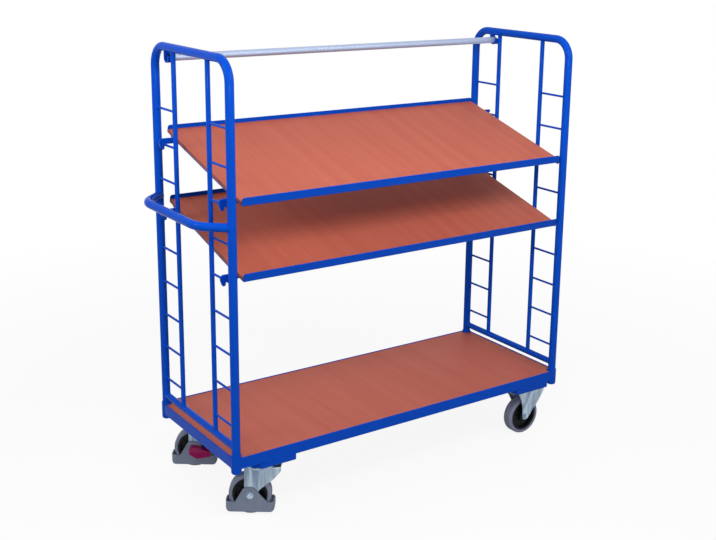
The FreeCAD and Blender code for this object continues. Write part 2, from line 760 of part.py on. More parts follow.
def swivel_balls():
    balls = []
    for step in range(ball_count):
        turn = 2 * math.pi * step / ball_count
        middle = Vector(ball_ring_r * math.cos(turn), ball_ring_r * math.sin(turn), crown_top + ball_d / 2)
        balls.append(Part.makeSphere(ball_d / 2, middle))
    return balls


def foot_guard():
    """Skirt round the foot of the wheel, with side panels that rise to the axle."""
    back_x = -trail - guard_half_length
    front_x = -trail + guard_half_length
    skirt = prism(rectangle((back_x, front_x), (-guard_outer, guard_outer), guard_corner),
                  in_xy(guard_floor_gap), (0, 0, guard_height))
    foot = [edge for edge in skirt.Edges if edge.BoundBox.ZMax < guard_floor_gap + touching]
    skirt = skirt.makeFillet(guard_foot_round, foot)
    skirt_side = [(back_x, guard_floor_gap, guard_end_round), (front_x, guard_floor_gap, guard_end_round),
                  (front_x, guard_top, 0), (back_x, guard_top, 0)]
    skirt = skirt.common(prism(skirt_side, in_xz(-guard_outer), (0, 2 * guard_outer, 0)))
    inner_half = guard_half_length - guard_wall
    hollow = prism(rectangle((-trail - inner_half, -trail + inner_half), (-guard_inner, guard_inner),
                             guard_corner - guard_wall), in_xy(guard_floor_gap), (0, 0, guard_height))
    panel_foot = guard_top - guard_wall
    side_view = [(-trail - 45.0, panel_foot, 0), (-trail - 17.0, axle_z + panel_top, panel_round),
                 (-trail + 11.0, axle_z + panel_top, panel_round), (-trail + 54.0, panel_foot, 0)]
    panels = [prism(side_view, in_xz(side), (0, guard_wall, 0)) for side in (-guard_outer, guard_inner)]
    return skirt.cut(hollow).fuse(panels).cut(axle_hole(-trail, guard_outer)).removeSplitter()


def brake_pedal(side):
    """Moulded wedge outside the guard that turns on a bush and covers the end of the axle bolt."""
    seat = guard_outer + seat_gap
    cover = seat + pedal_width - pedal_wall
    side_view = [(-pedal_back, -8.0, 4.0), (-pedal_back, pedal_crest, 6.0), (pedal_back, pedal_crest, 10.0),
                 (pedal_length, 0.0, 5.0), (pedal_length, -pedal_toe, 5.0),
                 (pedal_back + 2.0, -pedal_heel, 8.0)]
    wedge = prism(side_view, in_xz(side * seat), (0, side * pedal_width, 0))
    outer = side * (seat + pedal_width)
    slant = prism([(side * (seat + pedal_slant), pedal_crest, 0), (outer, pedal_crest, 0), (outer, 0.0, 0)],
                  in_yz(-pedal_back), (pedal_back + pedal_length, 0, 0))
    bore = bar(bush_r + running_clearance, (0, side * seat, 0), (0, side * (seat + pedal_thickness), 0))
    pocket = bar(bush_washer_r + pedal_pocket_gap, (0, side * (seat + pedal_thickness), 0),
                 (0, side * cover, 0))
    rim = [edge for edge in wedge.Edges if side * edge.BoundBox.Center.y > seat + pedal_width - touching]
    shape = wedge.makeFillet(pedal_edge_round, rim).cut([slant, bore, pocket]).removeSplitter()
    return shape.translated(Vector(-trail, 0, axle_z))


def pedal_bush(side):
    """Plain bush clamped against the guard by the axle nut, on which the pedal turns."""
    end = guard_outer + bush_length
    ring = bar(bush_r, (-trail, side * guard_outer, axle_z), (-trail, side * end, axle_z))
    return ring.cut(axle_hole(-trail, end))


def brake_shoe():
    """Block between the cheeks, above the tyre."""
    half_width = fork_gap / 2 - seat_gap
    bottom = wheel_d + shoe_travel + seat_gap
    outline = rectangle((-trail - shoe_length / 2, -trail + shoe_length / 2),
                        (bottom, bottom + shoe_height), 2.0)
    return prism(outline, in_xz(-half_width), (0, 2 * half_width, 0))


def fixed_fork():
    """Pressed fork of a fixed castor: a plate and two cheeks that spread and widen from the axle up to it."""
    axle_x = -fixed_offset
    boss = 11.0
    low_x = axle_x - fixed_fork_back
    high_x = axle_x + fixed_fork_front
    side_view = [(low_x, castor_top, 0), (axle_x - 27.0, axle_z + 64.0, 25.0),
                 (axle_x - boss - 1.0, axle_z + 26.0, 40.0), (axle_x - boss, axle_z - boss, 10.0),
                 (axle_x + boss, axle_z - boss, 10.0), (axle_x + 47.0, axle_z + 33.0, 25.0),
                 (high_x - 2.0, axle_z + 78.0, 30.0), (high_x, castor_top, 0)]
    outer = fixed_fork_spread / 2
    inner = fork_gap / 2
    bend = axle_z + flare_rise
    half = [(cheek_face, 0.0, 0), (cheek_face, bend, 40.0), (outer, plate_bottom, 0), (outer, castor_top, 0)]
    hollow = [(inner, 0.0, 0), (inner, bend, 40.0), (outer - fork_wall, plate_bottom, 0)]
    outline = half + [(-y, z, r) for y, z, r in reversed(half)]
    inside = hollow + [(-y, z, r) for y, z, r in reversed(hollow)]
    along = (high_x - low_x, 0, 0)
    sheet = prism(outline, in_yz(low_x), along).cut(prism(inside, in_yz(low_x), along))
    cheeks = sheet.common(prism(side_view, in_xz(-plate_width), (0, 2 * plate_width, 0)))
    plate = castor_plate(fixed_plate_length, plate_bottom)
    holes = [axle_hole(axle_x, plate_width)] + plate_holes(plate_bottom)
    return cheeks.fuse(plate).cut(holes).removeSplitter()


def set_swivel(shapes, side):
    """Turn castor pieces to their rest direction and put them on a swivel axis."""
    place = Vector(swivel_x, side * castor_y, 0)
    turned = [shape.rotated(Vector(0, 0, 0), Vector(0, 0, 1), swivel_rest_angle) for shape in shapes]
    return [shape.translated(place) for shape in turned]


def set_fixed(shapes, side):
    return [shape.translated(Vector(fixed_plate_x, side * castor_y, 0)) for shape in shapes]


# Assembly: each node is a list of solids

nodes = {
    "base_front_rail": [long_rail(-1)],
    "base_rear_rail": [long_rail(1)],
    "base_handle_end_rail": [end_rail(-1)],
    "base_far_end_rail": [end_rail(1)],
    "corner_sockets": [corner_socket(x, y) for x, y in corners],
    "swivel_castor_carrier": [carrier(swivel_x + swivel_carrier_shift, swivel_x, carrier_corner_cut)],
    "fixed_castor_carrier": [carrier(fixed_plate_x - fixed_carrier_shift, fixed_plate_x, 0)],
    "castor_plate_fasteners": plate_fasteners(swivel_x) + plate_fasteners(fixed_plate_x),
    "base_board": [base_board()],
    "base_board_screws": base_screws(),
    "handle_end_hoop": [hoop(-leg_x)],
    "handle_end_rungs": rungs(-leg_x),
    "far_end_hoop": [hoop(leg_x)],
    "far_end_rungs": rungs(leg_x),
    "cross_tubes": [cross_tube(-leg_x), cross_tube(leg_x)],
    "inner_rods": inner_rods(-leg_x) + inner_rods(leg_x),
    "push_handle": [push_handle()],
    "tie_rod": [tie_rod()],
    "tie_rod_plugs": [tie_rod_plug(-1), tie_rod_plug(1)],
    "tie_rod_hooks": [tie_rod_hook(-1), tie_rod_hook(1)],
}

for shelf, front_rung in (("upper_shelf", upper_front_rung), ("lower_shelf", lower_front_rung)):
    level_pieces = {
        "board": shelf_board(),
        "front_rail": shelf_rail(-1),
        "rear_rail": shelf_rail(1),
        "cross_bars": cross_bars(),
        "hooks": shelf_hooks(),
        "screws": shelf_screws(),
    }
    for piece, shapes in level_pieces.items():
        nodes[shelf + "_" + piece] = [hang_shelf(shape, front_rung) for shape in shapes]

nodes["swivel_king_pins"] = set_swivel(king_pin(), -1) + set_swivel(king_pin(), 1)

# The top plates stay square to the base while their forks are turned
nodes["swivel_top_plates"] = [swivel_top_plate().translated(Vector(swivel_x, side * castor_y, 0))
                              for side in (-1, 1)]

bush_end = guard_outer + bush_length
for castor, side, pedal_side in (("front_swivel", -1, 1), ("rear_swivel", 1, -1)):
    nodes[castor + "_fork"] = set_swivel([swivel_fork()], side)
    nodes[castor + "_balls"] = set_swivel(swivel_balls(), side)
    nodes[castor + "_foot_guard"] = set_swivel([foot_guard()], side)
    fasteners = axle_fasteners(-trail, -pedal_side, guard_outer, bush_end, bush_washer_r)
    nodes[castor + "_axle_fasteners"] = set_swivel(fasteners + [pedal_bush(pedal_side)], side)
    nodes[castor + "_axle_sleeve"] = set_swivel([axle_sleeve(-trail)], side)
    nodes[castor + "_wheel_core"] = set_swivel([wheel_core(-trail)], side)
    nodes[castor + "_tyre"] = set_swivel([wheel_tyre(-trail)], side)
    nodes[castor + "_brake_pedal"] = set_swivel([brake_pedal(pedal_side)], side)
    nodes[castor + "_brake_shoe"] = set_swivel([brake_shoe()], side)

nodes["fixed_castor_forks"] = set_fixed([fixed_fork()], -1) + set_fixed([fixed_fork()], 1)
nodes["fixed_axle_fasteners"] = []
nodes["fixed_axle_sleeves"] = []
for castor, side in (("front_fixed", -1), ("rear_fixed", 1)):
    fasteners = axle_fasteners(-fixed_offset, side, cheek_face, cheek_face, washer_r)
    nodes["fixed_axle_fasteners"] += set_fixed(fasteners, side)
    nodes["fixed_axle_sleeves"] += set_fixed([axle_sleeve(-fixed_offset)], side)
    nodes[castor + "_wheel_core"] = set_fixed([wheel_core(-fixed_offset)], side)
    nodes[castor + "_tyre"] = set_fixed([wheel_tyre(-fixed_offset)], side)

# Origin on the floor, under the middle of the whole trolley
whole = Part.makeCompound([solid for solids in nodes.values() for solid in solids])
reach = whole.optimalBoundingBox(False, False)
origin = Vector(-(reach.XMin + reach.XMax) / 2, -(reach.YMin + reach.YMax) / 2, -reach.ZMin)

os.makedirs("parts", exist_ok=True)
for name, solids in nodes.items():
    Part.makeCompound([solid.translated(origin) for solid in solids]).exportStep("parts/" + name + ".step")
    print(name, len(solids), "solids, volume", round(sum(solid.Volume for solid in solids)))

print("nodes", len(nodes))
print("size", round(reach.XLength, 3), round(reach.YLength, 3), round(reach.ZLength, 3))
print("moved by", round(origin.x, 4), round(origin.y, 4), round(origin.z, 4))
print("shelf slope", round(math.degrees(shelf_slope), 3), "castor top", castor_top, "rail top", rail_top)
print("top bar", top_bar_z, "handle", handle_z, "rungs", lowest_rung, rung_z(rung_count - 1))
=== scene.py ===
# %% [markdown]
# # A shelf trolley, dressed for its portrait
#
# The trolley is a welded steel frame with two sloping shelves that hang on ladder-like ends, a flat deck
# and four castors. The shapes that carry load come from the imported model, already in metres and in place.
# This lesson adds what a maker's eye still misses: finishes, weld beads, moulded ribs, screw heads, and the
# light of a small studio.

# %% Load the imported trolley
import json
import math

import bmesh
import bpy
from mathutils import Matrix, Vector


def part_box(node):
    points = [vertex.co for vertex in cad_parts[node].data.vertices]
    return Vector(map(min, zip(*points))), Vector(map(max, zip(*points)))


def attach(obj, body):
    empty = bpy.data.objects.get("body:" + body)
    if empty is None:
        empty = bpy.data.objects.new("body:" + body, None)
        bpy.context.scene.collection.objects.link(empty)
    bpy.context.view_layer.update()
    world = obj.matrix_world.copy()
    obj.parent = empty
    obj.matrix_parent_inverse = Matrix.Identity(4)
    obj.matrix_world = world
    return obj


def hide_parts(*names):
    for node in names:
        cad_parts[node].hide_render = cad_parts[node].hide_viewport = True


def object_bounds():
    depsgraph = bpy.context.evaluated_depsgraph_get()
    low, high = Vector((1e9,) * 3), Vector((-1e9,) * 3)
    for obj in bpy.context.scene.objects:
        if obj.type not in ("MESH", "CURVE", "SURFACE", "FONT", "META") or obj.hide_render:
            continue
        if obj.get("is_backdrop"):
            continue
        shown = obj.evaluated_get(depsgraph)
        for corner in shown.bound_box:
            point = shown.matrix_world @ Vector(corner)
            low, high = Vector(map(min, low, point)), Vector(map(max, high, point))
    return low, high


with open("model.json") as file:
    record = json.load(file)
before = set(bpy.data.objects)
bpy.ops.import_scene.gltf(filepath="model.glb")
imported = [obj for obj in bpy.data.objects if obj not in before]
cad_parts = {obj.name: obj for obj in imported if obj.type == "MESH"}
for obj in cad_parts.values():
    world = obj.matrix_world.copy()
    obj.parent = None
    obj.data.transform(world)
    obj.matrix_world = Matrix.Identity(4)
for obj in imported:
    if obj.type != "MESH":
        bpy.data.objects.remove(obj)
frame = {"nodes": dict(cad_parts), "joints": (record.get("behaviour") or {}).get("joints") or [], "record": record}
cad_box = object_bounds()
nodes = frame["nodes"]
joints = {joint["name"]: joint for joint in frame["joints"]}

# %% [markdown]
# ## The camera
#
# The picture was taken from off the handle end, at eye height, looking down a little. The place, the turn
# and the focal length were found by fitting the legs and rungs of the trolley to it. A camera can be aimed
# with a constraint, but three plain turns are easier to read: sideways, down, and a small lean of the
# camera itself.

# %% Camera at the photograph's viewing angle
camera_place = Vector((-1.9300, -2.8459, 1.6532))
camera_turn = math.radians(-35.508)
camera_down = math.radians(14.344)
camera_lean = math.radians(0.919)

camera_data = bpy.data.cameras.new("photo_camera")
camera_data.sensor_width = 36.0
camera_data.lens = 57.22
camera_data.shift_x = -0.0392
camera_data.shift_y = -0.0687
camera = bpy.data.objects.new("photo_camera", camera_data)
scene = bpy.context.scene
scene.collection.objects.link(camera)
aim = Matrix.Rotation(camera_turn, 4, "Z") @ Matrix.Rotation(math.pi / 2 - camera_down, 4, "X")
camera.matrix_world = Matrix.Translation(camera_place) @ aim @ Matrix.Rotation(camera_lean, 4, "Z")
scene.camera = camera
print("camera", round(camera_place.length, 2), "m from the middle of the floor under the trolley")

# %% [markdown]
# ## Helpers for nodes, colours and finishes
#
# Every finish and every tree below is built from nodes. One small function adds a node, sets its properties
# and fills its inputs, either with a plain value or with a link from another node. Colours are written as
# people pick them on a screen, as sRGB hex values, and one function turns them to the linear values that
# light is summed in. Patterns are sized in real millimetres.


# %% One function for a node, one for a colour
def add_node(tree, kind, inputs=None, **settings):
    made = tree.nodes.new(kind)
    for name, value in settings.items():
        setattr(made, name, value)
    for name, value in (inputs or {}).items():
        if isinstance(value, bpy.types.NodeSocket):
            tree.links.new(value, made.inputs[name])
        else:
            made.inputs[name].default_value = value
    return made


def linear(hex_colour):
    channels = [int(hex_colour[i:i + 2], 16) / 255 for i in (1, 3, 5)]
    return tuple(c / 12.92 if c <= 0.04045 else ((c + 0.055) / 1.055) ** 2.4 for c in channels) + (1.0,)


print("the mid grey #808080 is", round(linear("#808080")[0], 3), "in linear light")

# %% A new finish, and the scale of its pattern
millimetre = 0.001


def new_finish(name, roughness, specular=0.5, metallic=0.0):
    """A material with a shader, and the Object coordinates that its patterns read."""
    material = bpy.data.materials.new(name)
    material.use_nodes = True
    tree = material.node_tree
    tree.nodes.clear()
    place = add_node(tree, "ShaderNodeTexCoord").outputs["Object"]
    shader = add_node(tree, "ShaderNodeBsdfPrincipled", {
        "Roughness": roughness, "Specular IOR Level": specular, "Metallic": metallic})
    add_node(tree, "ShaderNodeOutputMaterial", {"Surface": shader.outputs["BSDF"]})
    return material, tree, place, shader


def per_metre(size_mm):
    """A noise texture's scale, for a pattern whose features are this many millimetres apart."""
    return 1.0 / (size_mm * millimetre)


print("a pattern of 6 mm has a scale of", round(per_metre(6)), "to the metre")

# %% [markdown]
# ## The studio floor
#
# A product picture like this one stands on a white ground that has no horizon. A sheet that curves up
# behind the trolley would give that from one side only, so the floor is a flat sheet of paper, big enough
# for every side. Light Path tells it when the camera or a shiny surface looks at it, and then it is mixed
# with plain white: by most of it near the trolley, so that a soft shadow stays, and fully a few metres
# away. Light that bounces off it sees a mid-grey sheet, so the white ground throws little light up at the
# trolley.

# %% Floor sheet
scene.view_settings.view_transform = "Standard"
floor_half = 60.0
floor_corners = [(-floor_half, -floor_half, 0), (floor_half, -floor_half, 0),
                 (floor_half, floor_half, 0), (-floor_half, floor_half, 0)]
floor_mesh = bpy.data.meshes.new("floor")
floor_mesh.from_pydata(floor_corners, [], [(0, 1, 2, 3)])
floor = bpy.data.objects.new("floor", floor_mesh)
scene.collection.objects.link(floor)
floor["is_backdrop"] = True
print("floor", 2 * floor_half, "m wide")

# %% Matt paper that looks white
shadow_reach = 1.3
white_from = 3.0
white_under_trolley = 0.9


def looked_at(tree):
    """One where the camera, a reflection or a clear body looks, and zero for light that only bounces."""
    path = add_node(tree, "ShaderNodeLightPath").outputs
    shine = add_node(tree, "ShaderNodeMath", {0: path["Is Glossy Ray"], 1: path["Is Transmission Ray"]},
                     operation="MAXIMUM")
    return add_node(tree, "ShaderNodeMath", {0: path["Is Camera Ray"], 1: shine.outputs[0]},
                    operation="MAXIMUM").outputs[0]


floor_paper, tree, place, shader = new_finish("matt_floor_paper", roughness=0.9, specular=0.0)
seen = looked_at(tree)
paper = add_node(tree, "ShaderNodeMix", {"Factor": seen, "A": linear("#8C8C8C"), "B": linear("#FFFFFF")},
                 data_type="RGBA")
tree.links.new(paper.outputs["Result"], shader.inputs["Base Color"])
away = add_node(tree, "ShaderNodeVectorMath", {0: place}, operation="LENGTH")
white_share = add_node(tree, "ShaderNodeMapRange", {
    "Value": away.outputs["Value"], "From Min": shadow_reach, "From Max": white_from,
    "To Min": white_under_trolley, "To Max": 1.0})
shown_share = add_node(tree, "ShaderNodeMath", {0: seen, 1: white_share.outputs[0]}, operation="MULTIPLY")
white = add_node(tree, "ShaderNodeEmission", {"Color": linear("#FFFFFF"), "Strength": 1.0})
mixed = add_node(tree, "ShaderNodeMixShader", {
    0: shown_share.outputs[0], 1: shader.outputs["BSDF"], 2: white.outputs[0]})
tree.links.new(mixed.outputs[0], tree.nodes["Material Output"].inputs["Surface"])
floor_mesh.materials.append(floor_paper)
print(floor_paper.name, "is plain white from", white_from, "m outward")

# %% [markdown]
# ## The studio light
#
# A picture of a real room could light the trolley, but walls and lamps of its own can be moved and dimmed
# one by one. Two glowing walls light all of it: one in front on the left and one behind. Each is strongest
# in its middle and fades to its sides, so that every tube has a shaded flank. The camera and every
# reflection see plain white in their place. A long softbox hangs in front, near the trolley, and reaches in
# over the shelves. A weak one overhead and a small one on the left lift the top bars and the handle end,
# and a thin strip at the left, at the height of the shelves, draws glints on the tubes.

# %% Glowing walls
front_wall = Vector((-0.50, -0.86, 0.10)).normalized()
front_glow = 0.85
back_wall = Vector((0.20, 1.00, 0.20)).normalized()
back_glow = 0.80

world = bpy.data.worlds.new("studio")
scene.world = world
world.use_nodes = True
tree = world.node_tree
tree.nodes.clear()
direction = add_node(tree, "ShaderNodeTexCoord").outputs["Generated"]
glow = []
for toward, strength in ((front_wall, front_glow), (back_wall, back_glow)):
    facing = add_node(tree, "ShaderNodeVectorMath", {0: direction, 1: toward}, operation="DOT_PRODUCT")
    glow.append(add_node(tree, "ShaderNodeMapRange", {
        "Value": facing.outputs["Value"], "To Max": strength}).outputs[0])
wall_strength = add_node(tree, "ShaderNodeMath", {0: glow[0], 1: glow[1]}, operation="ADD")
walls = add_node(tree, "ShaderNodeBackground", {
    "Color": linear("#FFFFFF"), "Strength": wall_strength.outputs[0]})
ground = add_node(tree, "ShaderNodeBackground", {"Color": linear("#FFFFFF"), "Strength": 1.0})
shown = add_node(tree, "ShaderNodeMixShader", {0: looked_at(tree), 1: walls.outputs[0], 2: ground.outputs[0]})
add_node(tree, "ShaderNodeOutputWorld", {"Surface": shown.outputs[0]})
print(world.name, "has", len(glow), "glowing walls")


# %% Softboxes
def add_softbox(name, place, target, size, power):
    data = bpy.data.lights.new(name, "AREA")
    data.shape = "RECTANGLE"
    data.size = size[0]
    data.size_y = size[1]
    data.energy = power
    lamp = bpy.data.objects.new(name, data)
    scene.collection.objects.link(lamp)
    lamp.location = place
    lamp.rotation_euler = (Vector(target) - Vector(place)).to_track_quat("-Z", "Y").to_euler()
    lamp.visible_camera = False


add_softbox("front_softbox", place=(0.0, -1.2, 1.75), target=(0.1, -0.2, 0.95), size=(1.9, 0.5), power=14)
add_softbox("overhead_softbox", place=(0.0, 0.3, 2.6), target=(0.0, 0.0, 0.8), size=(2.2, 0.8), power=2.5)
add_softbox("left_softbox", place=(-1.6, 0.1, 1.6), target=(-0.5, 0.0, 1.1), size=(0.5, 0.5), power=6)
add_softbox("low_strip", place=(-1.75, -2.2, 0.95), target=(-0.2, 0.0, 0.95), size=(0.6, 0.05), power=8)
print(world.name, "has", len(bpy.data.lights), "softboxes")

# %% [markdown]
# ## Polyester powder coat
#
# The steel is sprayed with a blue powder that melts to a skin about 80 micrometres thick. One plain blue
# would look lifeless from close by, so two noises vary it. A fine one bends the surface to a faint orange
# peel, really about 3 mm from crest to crest and drawn at 6 mm here, because finer would be lost in the
# picture. A broad one shifts the blue a little over a hand's width, as the layer is thicker in some places
# than in others. The skin is smooth, but mirrors only little, because the white ground all round it would
# otherwise wash out the blue.

# %% Blue powder coat
thickness_patch_mm = 90
peel_mm = 6
peel_depth = 0.6 * millimetre

blue_coat, tree, place, shader = new_finish("polyester_powder_coat_blue", roughness=0.1, specular=0.035)
flow = add_node(tree, "ShaderNodeTexNoise", {
    "Vector": place, "Scale": per_metre(thickness_patch_mm), "Detail": 2.0})
tint = add_node(tree, "ShaderNodeMix", {
    "Factor": flow.outputs[0], "A": linear("#064CC8"), "B": linear("#0855D6")}, data_type="RGBA")
tree.links.new(tint.outputs["Result"], shader.inputs["Base Color"])
peel = add_node(tree, "ShaderNodeTexNoise", {"Vector": place, "Scale": per_metre(peel_mm), "Detail": 1.0})
bump = add_node(tree, "ShaderNodeBump", {
    "Strength": 0.04, "Distance": peel_depth, "Height": peel.outputs[0]})
tree.links.new(bump.outputs["Normal"], shader.inputs["Normal"])
print(blue_coat.name)

# %% [markdown]
# ## Melamine-faced chipboard
#
# The boards are chipboard pressed with a printed paper in a red beech decor under clear melamine. A picture
# of the paper would need a file, so noise that is stretched along the grain draws it. The print runs from
# the front of the trolley to the back: faint streaks a few centimetres wide, finer ones inside them, and
# short darker flecks. The skin is smooth with a satin sheen. The two free ends of a shelf board carry a
# thin plastic edging in a plainer, greyer tone, which the finish finds by the direction that the face looks
# in.

# %% Beech decor for the boards
streak_sizes_mm = {"wide": (32, 900), "fine": (7, 400), "fleck": (1.6, 24)}
end_facing = 0.7


def beech_decor(name, light, dark, fleck, edging):
    material, tree, place, shader = new_finish(name, roughness=0.5, specular=0.15)
    streaks = {}
    for kind, (width_mm, length_mm) in streak_sizes_mm.items():
        scale = (per_metre(width_mm), per_metre(length_mm), per_metre(length_mm))
        stretched = add_node(tree, "ShaderNodeMapping", {"Vector": place, "Scale": scale})
        streaks[kind] = add_node(tree, "ShaderNodeTexNoise", {
            "Vector": stretched.outputs[0], "Scale": 1.0, "Detail": 3.0, "Distortion": 0.3}).outputs[0]
    streak = add_node(tree, "ShaderNodeMix", {"Factor": 0.4, "A": streaks["wide"], "B": streaks["fine"]},
                      data_type="FLOAT")
    tone = add_node(tree, "ShaderNodeMapRange", {
        "Value": streak.outputs["Result"], "From Min": 0.3, "From Max": 0.7})
    paper = add_node(tree, "ShaderNodeMix", {
        "Factor": tone.outputs[0], "A": linear(dark), "B": linear(light)}, data_type="RGBA")
    few = add_node(tree, "ShaderNodeMapRange", {
        "Value": streaks["fleck"], "From Min": 0.6, "From Max": 0.76, "To Max": 0.3})
    printed = add_node(tree, "ShaderNodeMix", {
        "Factor": few.outputs[0], "A": paper.outputs["Result"], "B": linear(fleck)}, data_type="RGBA")
    facing = add_node(tree, "ShaderNodeSeparateXYZ", {0: place.node.outputs["Normal"]})
    endwise = add_node(tree, "ShaderNodeMath", {0: facing.outputs["X"]}, operation="ABSOLUTE")
    at_end = add_node(tree, "ShaderNodeMath", {0: endwise.outputs[0], 1: end_facing},
                      operation="GREATER_THAN")
    colour = add_node(tree, "ShaderNodeMix", {
        "Factor": at_end.outputs[0], "A": printed.outputs["Result"], "B": linear(edging)}, data_type="RGBA")
    tree.links.new(colour.outputs["Result"], shader.inputs["Base Color"])
    sheen = add_node(tree, "ShaderNodeMapRange", {"Value": streaks["fine"], "To Min": 0.45, "To Max": 0.58})
    tree.links.new(sheen.outputs[0], shader.inputs["Roughness"])
    return material


shelf_decor = beech_decor("melamine_red_beech_shelf", "#CC6D58", "#C25F4A", "#9A4836", "#A05E4C")
deck_decor = beech_decor("melamine_red_beech_deck", "#CC6B58", "#C25F4C", "#9A4838", "#A05E4C")
print(shelf_decor.name, deck_decor.name)

# %% [markdown]
# ## Bright zinc and drawn tube
#
# Castor forks, bolts and nuts are pressed or cut from steel and then plated with zinc. The layer is thin
# and bluish. It drains in upright washes as the part is lifted from the bath. The finish paints upright
# bands a centimetre or two wide, light and dark. They are partly these washes and partly painted
# reflections: they stand for the light and dark bands that the curved cheeks of a fork reflect, and the
# gloss varies with them. The tie rod is drawn tube, pulled through a die that leaves fine lines along it.
# They are really about 0.2 mm apart and are drawn at 4 mm. A dull skin of oxide takes the edge off its
# shine. An anisotropic shine could hint at both, but stretched noise also varies their tone.

# %% Zinc plating
wash_and_reflection_width_mm = 16
wash_and_reflection_length_mm = 120

zinc, tree, place, shader = new_finish("zinc_plated_steel", roughness=0.38, metallic=1.0)
upright = add_node(tree, "ShaderNodeMapping", {"Vector": place, "Scale": (
    per_metre(wash_and_reflection_width_mm), per_metre(wash_and_reflection_width_mm), per_metre(wash_and_reflection_length_mm))})
cloud = add_node(tree, "ShaderNodeTexNoise", {"Vector": upright.outputs[0], "Scale": 1.0, "Detail": 3.0})
# Painted reflection: these upright light and dark bands are partly the plating's own drain washes and partly
# painted reflections of a curved fork's cheeks.
wash_and_reflection_band = add_node(tree, "ShaderNodeMapRange", {"Value": cloud.outputs[0], "From Min": 0.32, "From Max": 0.68})
tone = add_node(tree, "ShaderNodeMix", {
    "Factor": wash_and_reflection_band.outputs[0], "A": linear("#6C7F97"), "B": linear("#B2C3D0")}, data_type="RGBA")
gloss = add_node(tree, "ShaderNodeMapRange", {"Value": cloud.outputs[0], "To Min": 0.3, "To Max": 0.46})
tree.links.new(tone.outputs["Result"], shader.inputs["Base Color"])
tree.links.new(gloss.outputs[0], shader.inputs["Roughness"])
print(zinc.name)

# %% Drawn tube
line_width_mm = 4
line_length_mm = 300
line_depth = 0.2 * millimetre

drawn_tube, tree, place, shader = new_finish("drawn_steel_tube", roughness=0.62, metallic=0.75)
along = add_node(tree, "ShaderNodeMapping", {"Vector": place, "Scale": (
    per_metre(line_length_mm), per_metre(line_width_mm), per_metre(line_width_mm))})
streak = add_node(tree, "ShaderNodeTexNoise", {"Vector": along.outputs[0], "Scale": 1.0, "Detail": 3.0})
tone = add_node(tree, "ShaderNodeMix", {
    "Factor": streak.outputs[0], "A": linear("#A2B0CC"), "B": linear("#BCC8E0")}, data_type="RGBA")
scratch = add_node(tree, "ShaderNodeBump", {
    "Strength": 0.15, "Distance": line_depth, "Height": streak.outputs[0]})
tree.links.new(tone.outputs["Result"], shader.inputs["Base Color"])
tree.links.new(scratch.outputs["Normal"], shader.inputs["Normal"])
print(drawn_tube.name)

# %% [markdown]
# ## Rubber and plastics
#
# The tyres are grey thermoplastic rubber, matt and a little dusty. Wheel cores and plugs are black
# polypropylene, foot guards grey polyamide, and the pedals magenta polyamide, all moulded in steel tools
# with a fine spark-eroded grain. The grain is really about 0.3 mm and is drawn at about 1 mm. One function
# makes all four finishes, because they differ only in colour, gloss and grain.

# %% Tyres and moulded plastics
cloud_mm = 25
grain_depth = 0.3 * millimetre


def moulded(name, first, second, roughness, specular, grain_mm):
    material, tree, place, shader = new_finish(name, roughness, specular)
    cloud = add_node(tree, "ShaderNodeTexNoise", {
        "Vector": place, "Scale": per_metre(cloud_mm), "Detail": 3.0})
    tone = add_node(tree, "ShaderNodeMix", {
        "Factor": cloud.outputs[0], "A": linear(first), "B": linear(second)}, data_type="RGBA")
    grain = add_node(tree, "ShaderNodeTexNoise", {
        "Vector": place, "Scale": per_metre(grain_mm), "Detail": 2.0})
    bump = add_node(tree, "ShaderNodeBump", {
        "Strength": 0.1, "Distance": grain_depth, "Height": grain.outputs[0]})
    tree.links.new(tone.outputs["Result"], shader.inputs["Base Color"])
    tree.links.new(bump.outputs["Normal"], shader.inputs["Normal"])
    return material


tyre_rubber = moulded("thermoplastic_rubber_grey", "#8087A0", "#9298B0", 0.6, 0.25, 1.2)
black_plastic = moulded("polypropylene_black", "#05060B", "#0A0C12", 0.4, 0.15, 1.0)
guard_plastic = moulded("polyamide_grey", "#7A8499", "#8A94A9", 0.45, 0.3, 1.0)
pedal_plastic = moulded("polyamide_magenta", "#8E0050", "#A8005E", 0.4, 0.2, 1.0)
print(tyre_rubber.name, black_plastic.name, guard_plastic.name, pedal_plastic.name)

# %% [markdown]
# ## Which piece has which finish
#
# Each piece could be given its finish by name, but the list would be long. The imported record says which
# material slot each piece belongs to, so a small table from slot to finish dresses all the pieces that came
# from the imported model. The same table dresses the new pieces below.

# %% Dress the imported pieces
finish_of_slot = {
    "blue_powder_coat": blue_coat,
    "shelf_board": shelf_decor,
    "deck_board": deck_decor,
    "zinc_plated_steel": zinc,
    "tie_rod_steel": drawn_tube,
    "tyre": tyre_rubber,
    "black_plastic": black_plastic,
    "guard_plastic": guard_plastic,
    "pedal_plastic": pedal_plastic,
}
for entry in frame["record"]["subparts"]:
    dressed = nodes[entry["node"]].data
    dressed.materials.clear()
    dressed.materials.append(finish_of_slot[entry["material_slot"]])

# %% [markdown]
# ## Helpers for node trees that make shapes
#
# What repeats on the trolley, or runs along a joint, is made by Geometry Nodes: a tree takes a starting
# mesh, such as one point for each weld, and a few named sizes, and gives back the finished shapes. An
# object carries the tree as a modifier only until its result is copied into a plain mesh, which then rides
# on a body like any other piece.


# %% Beginning and end of a tree
def new_tree(name, sizes):
    """A tree with a starting mesh and the named sizes as inputs, and the sockets that give them."""
    tree = bpy.data.node_groups.new(name, "GeometryNodeTree")
    tree.interface.new_socket("Start", in_out="INPUT", socket_type="NodeSocketGeometry")
    for label, kind in sizes.items():
        tree.interface.new_socket(label, in_out="INPUT", socket_type="NodeSocket" + kind)
    tree.interface.new_socket("Finish", in_out="INPUT", socket_type="NodeSocketMaterial")
    tree.interface.new_socket("Result", in_out="OUTPUT", socket_type="NodeSocketGeometry")
    return tree, add_node(tree, "NodeGroupInput").outputs


